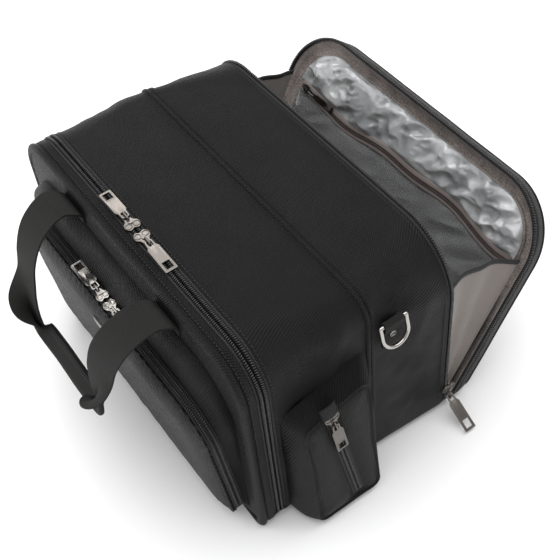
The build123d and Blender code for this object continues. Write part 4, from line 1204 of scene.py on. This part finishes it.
end_tape_cut = even([(-0.0082, -0.0014), (-0.0070, 0.0), (-0.0050, 0.0001), (-0.0024, -0.0002), (0, -0.0002)])
hood_cut = even([(-0.0092, 0.0), (-0.0080, 0.0020), (-0.0040, 0.0032), (0.0, 0.0034)])
base_outline, face_outline = end_outline(0.0, 0.009), end_outline(0.012, 0.010)
for side, end in ((-1, "left"), (1, "right")):
    base_x = end_in - np.sin(end_taper) * base_outline[:, 0] - 0.0008
    base_y = end_y + np.cos(end_taper) * base_outline[:, 0]
    at_base = np.stack((side * base_x, base_y, end_z + base_outline[:, 1]), -1)
    at_face = on_face(face_outline, 0.0, side)
    rings = []
    middle = np.array((0, end_y + 0.05, end_z + 0.09))
    for s in (0, 0.06, 0.14, 0.26, 0.4, 0.55, 0.7, 0.82, 0.91, 0.965, 1.0):
        ring = at_base * (1 - s) + at_face * s
        away = ring - middle
        away[:, 0] = 0
        away /= np.linalg.norm(away, axis=1)[:, None]
        upper = np.clip((ring[:, 2] - 0.12) / 0.05, 0, 1)
        swell_by = 0.0035 * sin(pi * s) + 0.0016 * sin(pi * s) * ripple(ring, 0.03, 71 + side)
        hollow = 0.0035 * sin(pi * s) * upper
        rings.append(ring + away * (swell_by - hollow)[:, None])
    centre = np.array((0.048, 0.083))
    shares = (
        0.994, 0.985, 0.975, 0.96, 0.94, 0.915, 0.885, 0.85, 0.81, 0.765,
        0.71, 0.65, 0.58, 0.5, 0.42, 0.33, 0.24, 0.15, 0.06, 0.0,
    )
    for s in shares:
        inner = centre + (face_outline - centre) * s
        gap = np.sqrt(((inner[:, None] - face_outline[None]) ** 2).sum(2)).min(1)
        cord = bump(gap, 0.0014, 0.0016, 0.0014) - bump(gap, 0.0046, 0.0014, 0.0010)
        crown = 0.0048 * (1 - (1 - np.clip(gap / 0.026, 0, 1)) ** 2)
        flat_at = np.stack((np.full(len(inner), side * 0.2), inner[:, 0], inner[:, 1]), -1)
        rumple = 0.0013 * ripple(flat_at, (1, 0.022, 0.05), 75) + 0.0006 * ripple(flat_at, 0.014, 76)
        crown = crown + np.clip(gap / 0.02, 0, 1) * rumple
        beside = from_zip(inner)
        crown = crown * (1 - np.exp(-((beside / 0.014) ** 2))) - 0.0016 * np.exp(-((beside / 0.0085) ** 2))
        rings.append(on_face(inner, cord + crown, side))
    pouch = skin(
        f"end_pocket_{end}",
        rings,
        twill,
        wall=0.0013,
        flat=lambda p: (p[1], p[2] - abs(p[0])),
        away=(side, 0, 0.1),
    )
    close_middle(pouch)
    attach(pouch, "bag_body")
    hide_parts(f"side_pocket_{end}")
    rows = []
    across_way = np.array((zip_way[1], -zip_way[0]))
    stations = np.linspace(-0.002, zip_long + 0.002, 60)
    for way, level in end_tape_cut:
        line = zip_from + np.outer(stations, zip_way) + across_way * way
        rows.append(on_face(line, np.full(len(line), level), side))
    end_tape = skin(f"end_zip_tape_{end}", rows, tape, closed=False, wall=0.0006, away=(side, 0, 0.1))
    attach(end_tape, "bag_body")
    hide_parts(f"side_zip_{end}")
    out_way = np.array((side * cos(end_flare), 0, sin(end_flare)))
    lines = []
    for way in (-0.0022, 0.0022):
        line = zip_from + np.outer(np.linspace(0, zip_long, 60), zip_way) + across_way * way
        lines.append((on_face(line, np.full(60, 0.0002), side), np.tile(out_way, (60, 1))))
    end_coil = sewn_row(
        f"end_zip_coil_{end}", lines, coil,
        Pitch=0.0021, Along=0.0018, Across=0.0040, Height=0.0022, Slant=0.2,
    )
    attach(end_coil, "bag_body")
    seams = []
    for way in (-0.0062, 0.0062):
        line = zip_from + np.outer(np.linspace(0, zip_long, 60), zip_way) + across_way * way
        seams.append((on_face(line, np.full(60, 0.0003), side), np.tile(out_way, (60, 1))))
    stitches(f"end_zip_stitches_{end}", seams, "bag_body")
    hood_rings = []
    for way, level in hood_cut:
        line = zip_from + np.outer(np.linspace(-0.012, 0.0045, 12), zip_way) + across_way * way
        fall = np.sin(np.linspace(0.25, pi / 2, 12)) ** 0.6
        hood_rings.append(on_face(line, level * fall + 0.0006, side))
    hood = skin(f"zip_garage_{end}", hood_rings, twill, closed=False, wall=0.0007, away=(side, 0, 0.1))
    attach(hood, "bag_body")

# ---------------------------------------------------------------- the strap rings
# A steel ring at each end takes a shoulder strap. It hangs in a short tab of webbing, folded round the
# ring's bar, and held to the body by stitches and a domed rivet.
tab_turn = 0.00305                      # from the ring's bar to the middle of the webbing round it
tab_ways = (-0.0110, -0.0106, -0.006, 0.0, 0.006, 0.0106, 0.0110)
tab_seams = (
    ((-0.009, -0.0315), (0.009, -0.0315)),
    ((-0.009, -0.0225), (-0.009, -0.0315)),
    ((0.009, -0.0225), (0.009, -0.0315)),
)
for side, end in ((-1, "left"), (1, "right")):
    hang = next(j for j in frame["joints"] if j["name"] == f"strap_ring_{end}_swing")["pos_m"]
    bar_x, bar_z = abs(hang[0]), hang[2]
    arc = [(bar_x - tab_turn * cos(a), bar_z + tab_turn * sin(a)) for a in np.linspace(0, pi, 9)]
    track = [(bar_x - tab_turn, bar_z - 0.034), (bar_x - tab_turn, bar_z - 0.017), *arc]
    front_layer = ((0.0018, -0.0070), (-0.0006, -0.0135), (-0.00155, -0.0180), (-0.00155, -0.0340))
    track += [(bar_x + out, bar_z + up) for out, up in front_layer]
    track = smooth_path([(x, 0.0, z) for x, z in track], 70)
    rows = [[(side * x, hang[1] + way, z) for way in tab_ways] for x, _, z in track]
    tab = skin(f"ring_tab_{end}", rows, webbing, closed=False)
    thicken(tab, 0.0013, offset=0)
    soften(tab, 0.0004)
    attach(tab, "bag_body")
    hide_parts("ring_tabs")
    box_line = []
    for a, b in tab_seams:
        points = [
            (side * (bar_x - 0.0009), hang[1] + a[0] + (b[0] - a[0]) * t, bar_z + a[1] + (b[1] - a[1]) * t)
            for t in np.linspace(0, 1, 12)
        ]
        box_line.append((points, np.tile((side, 0, 0), (12, 1))))
    stitches(f"ring_tab_stitches_{end}", box_line, "bag_body")

steel, steel_tree, steel_shader = painted("polished steel", (0.42, 0.405, 0.385), 0.18, Metallic=1.0)
wear = grain(steel_tree, 0.004, 5)
steel_tree.links.new(number(steel_tree, "MULTIPLY_ADD", wear, 0.22, 0.06), steel_shader.inputs["Roughness"])
for node in ("strap_ring_left", "strap_ring_right", "ring_rivets"):
    paint_node(node, steel)

# ---------------------------------------------------------------- sliders and pulls
# The sliders are die-cast: two plates with rounded wings round the coil, and a bail that holds the
# pull. The pulls are stamped plates with a window and bevelled edges, plated and brushed.


def cast_of(drawn):
    """Plain mesh of a curve, the curve itself dropped."""
    holder = bpy.data.objects.new("cast", drawn)
    mesh = bpy.data.meshes.new_from_object(holder)
    bpy.data.objects.remove(holder)
    bpy.data.curves.remove(drawn)
    return mesh


def plate(outlines, thickness, edge, level=0.0):
    """Mesh of a flat plate with rounded edges, from one outline and its holes, about z = level."""
    drawn = bpy.data.curves.new("plate", "CURVE")
    drawn.dimensions = "2D"
    drawn.fill_mode = "BOTH"
    drawn.extrude = thickness / 2 - edge
    drawn.bevel_depth = edge
    drawn.bevel_resolution = 2
    drawn.offset = -edge
    for outline in outlines:
        spline = drawn.splines.new("POLY")
        spline.points.add(len(outline) - 1)
        for point, (x, y) in zip(spline.points, outline):
            point.co = (x, y, 0, 1)
        spline.use_cyclic_u = True
    mesh = cast_of(drawn)
    mesh.transform(Matrix.Translation((0, 0, level)))
    return mesh


def bent_rod(points, radius):
    """Mesh of a round rod along a smooth curve."""
    drawn = bpy.data.curves.new("rod", "CURVE")
    drawn.dimensions = "3D"
    drawn.bevel_depth = radius
    drawn.bevel_resolution = 4
    drawn.use_fill_caps = True
    spline = drawn.splines.new("NURBS")
    spline.points.add(len(points) - 1)
    for point, at in zip(spline.points, points):
        point.co = (*at, 1)
    spline.order_u = 3
    spline.use_endpoint_u = True
    spline.resolution_u = 8
    return cast_of(drawn)


def ring_of(x, y, z, radius):
    """Mesh of a raised rim round one of the slider's wings."""
    turns = [k * pi / 10 for k in range(20)]
    outer = [(x + (radius + 0.0008) * cos(a), y + (radius + 0.0008) * sin(a)) for a in turns]
    inner = [(x + radius * cos(a), y + radius * sin(a)) for a in turns]
    return plate([outer, inner], 0.0009, 0.0003, z)


def gathered(name, meshes, matrix, material):
    """One object of several meshes, placed by a matrix."""
    points, faces = [], []
    for mesh in meshes:
        start = len(points)
        points.extend(tuple(v.co) for v in mesh.vertices)
        faces.extend(tuple(start + i for i in p.vertices) for p in mesh.polygons)
        bpy.data.meshes.remove(mesh)
    joined = bpy.data.meshes.new(name)
    joined.from_pydata(points, [], faces)
    joined.transform(matrix)
    obj = link(name, joined, material)
    obj.modifiers.new("weld", "WELD").merge_threshold = 0.00001
    obj.modifiers.new("shading", "EDGE_SPLIT").split_angle = radians(40)
    return obj


def both_sides(half):
    """A closed outline from its upper half."""
    return half + [(x, -y) for x, y in half[::-1] if abs(y) > 1e-6]


wing = smooth_path(
    [
        (0.0054, 0.0, 0), (0.0053, 0.0026, 0), (0.0030, 0.0036, 0), (-0.0020, 0.0037, 0),
        (-0.0052, 0.0050, 0), (-0.0076, 0.0074, 0), (-0.0112, 0.0082, 0), (-0.0146, 0.0070, 0),
        (-0.0168, 0.0044, 0), (-0.0160, 0.0018, 0), (-0.0150, 0.0, 0),
    ],
    52,
)
dark_plate, dark_tree, dark_shader = painted("dark nickel", (0.10, 0.095, 0.09), 0.3, Metallic=1.0)
relief(dark_tree, dark_shader, grain(dark_tree, 0.0012), 0.00003)
bright, bright_tree, bright_shader = painted("bright nickel", (0.30, 0.285, 0.265), 0.2, Metallic=1.0)
bright_rough = number(bright_tree, "MULTIPLY_ADD", grain(bright_tree, 0.003, 4), 0.25, 0.08)
bright_tree.links.new(bright_rough, bright_shader.inputs["Roughness"])
finishes = {"main": nickel, "pocket": bright, "rear": nickel, "side": nickel, "clear": dark_plate}
pull_length = 0.0420
pull_lift = {"rear": 57.61}             # degrees that a pull stands off the cloth; the rest droop a little
pull_size = {"clear": (0.62, 0.9)}      # shares of the full width and length
wing_size = {"clear": 0.62, "pocket": 0.80}
post_half = [(-0.0080, 0.0), (-0.0082, 0.0004), (-0.0150, 0.0006), (-0.0155, 0.0)]
bail_line = [
    (-0.0046, 0, 0.0026), (-0.0047, 0, 0.0062), (-0.0020, 0, 0.0066),
    (0.0020, 0, 0.0066), (0.0050, 0, 0.0062), (0.0049, 0, 0.0026),
]
boss_line = [(-0.0074, 0, 0.0024), (-0.0074, 0, 0.0034), (-0.0074, 0, 0.0040)]


def window_line(near, far, half, radius):
    """A small rectangle with rounded corners, about the middle of a pull."""
    return rounded_line([(near, -half), (far, -half), (far, half), (near, half)], radius, 2, 4)


for joint in frame["joints"]:
    if not joint["name"].endswith("_pull_swing"):
        continue
    name = joint["name"][: -len("_pull_swing")]
    kind = name.split("_")[0]
    run = next(j for j in frame["joints"] if j["name"] == f"{name}_slider_run")
    along = Vector(run["axis"]).normalized() * (-1 if kind == "rear" else 1)
    out = Vector(joint["axis"]).cross(along).normalized()
    aside = out.cross(along)
    pivot = Vector(joint["pos_m"])
    stance = Matrix((along, aside, out)).transposed().to_4x4()
    stance.translation = pivot - out * 0.0042
    w, reach = pull_size.get(kind, (1.0, 1.0))
    spread = wing_size.get(kind, 1.0)
    outline = both_sides([(x, y * spread) for x, y, _ in wing])
    top = plate([outline], 0.0013, 0.0004, 0.0023)
    rim_out = both_sides([(x * 0.96 - 0.0001, y * spread * 0.68) for x, y, _ in wing])
    under = plate([rim_out], 0.0011, 0.0003, -0.0022)
    post = plate([both_sides(post_half)], 0.0045, 0.0001)
    bail, boss = bent_rod(bail_line, 0.0010), bent_rod(boss_line, 0.0022)
    ears = [ring_of(-0.0116, way * 0.0042 * spread, 0.0031, 0.0028 * min(spread, 1.0)) for way in (-1, 1)]
    slider = gathered(f"{name}_slider_casting", [top, under, post, bail, boss, *ears], stance, finishes[kind])
    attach(slider, f"{name}_slider")
    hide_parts(f"{name}_slider")

    lean = radians(pull_lift.get(kind, -2.4))
    pull_along = along * cos(lean) + out * sin(lean)
    pull_out = out * cos(lean) - along * sin(lean)
    pull_stance = Matrix((pull_along, aside, pull_out)).transposed().to_4x4()
    pull_stance.translation = pivot
    end_of = pull_length * reach
    half = [(-0.0007, -0.0040 * w), (0.0070, -0.0045 * w), (0.0100, -0.0063 * w), (end_of, -0.0065 * w)]
    shape = rounded_line(both_sides(half), 0.0011, 3, 4)
    eye = window_line(0.0008, 0.0068, 0.0023 * w, 0.0007)
    window = window_line(end_of - 0.0120, end_of - 0.0028, 0.0037 * w, 0.0006)
    frame_line = window_line(end_of - 0.0131, end_of - 0.0017, 0.0048 * w, 0.0010)
    blank = plate([shape, eye, window], 0.0013, 0.0004)
    surround = plate([frame_line, window], 0.0018, 0.0003)
    pull = gathered(f"{name}_pull_plate", [blank, surround], pull_stance, finishes[kind])
    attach(pull, f"{name}_pull")
    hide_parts(f"{name}_pull")

# ---------------------------------------------------------------- floor and light
# A plain white floor, a large soft light above, and two smaller ones at the left and in front, as in
# a small product studio.
floor_mesh = bpy.data.meshes.new("floor")
floor_mesh.from_pydata([(-6, -6, 0), (6, -6, 0), (6, 6, 0), (-6, 6, 0)], [], [(0, 1, 2, 3)])
floor_white, floor_tree, floor_shader = painted(
    "white floor", (0.93, 0.93, 0.93), 0.7, Specular_IOR_Level=0.1
)
floor_tint = shade(floor_tree, grain(floor_tree, 0.5), (0.925, 0.925, 0.925), (0.935, 0.935, 0.935))
floor_tree.links.new(floor_tint, floor_shader.inputs["Base Color"])
floor = link("floor", floor_mesh, floor_white)
floor.location.z = min(0.0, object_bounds()[0].z) - 0.0003

world = bpy.data.worlds.new("studio")
bpy.context.scene.world = world
world.use_nodes = True
world.node_tree.nodes["Background"].inputs["Color"].default_value = (1, 1, 1, 1)
world.node_tree.nodes["Background"].inputs["Strength"].default_value = 0.62


def soft_light(name, at, towards, size, power):
    """A square area light at a point, facing another."""
    lamp = bpy.data.lights.new(name, "AREA")
    lamp.size = size
    lamp.energy = power
    holder = bpy.data.objects.new(name, lamp)
    holder.location = at
    holder.rotation_euler = (Vector(towards) - Vector(at)).to_track_quat("-Z", "Y").to_euler()
    bpy.context.scene.collection.objects.link(holder)


soft_light("overhead", (-0.1, 0.2, 2.6), (0, 0, 0.1), 3.6, 92)
soft_light("left_window", (-2.0, 0.6, 1.7), (0, 0, 0.15), 1.0, 14)
soft_light("front_window", (-1.25, -1.75, 0.35), (0, 0.2, 0.15), 1.1, 12)
bpy.context.scene.view_settings.view_transform = "Standard"
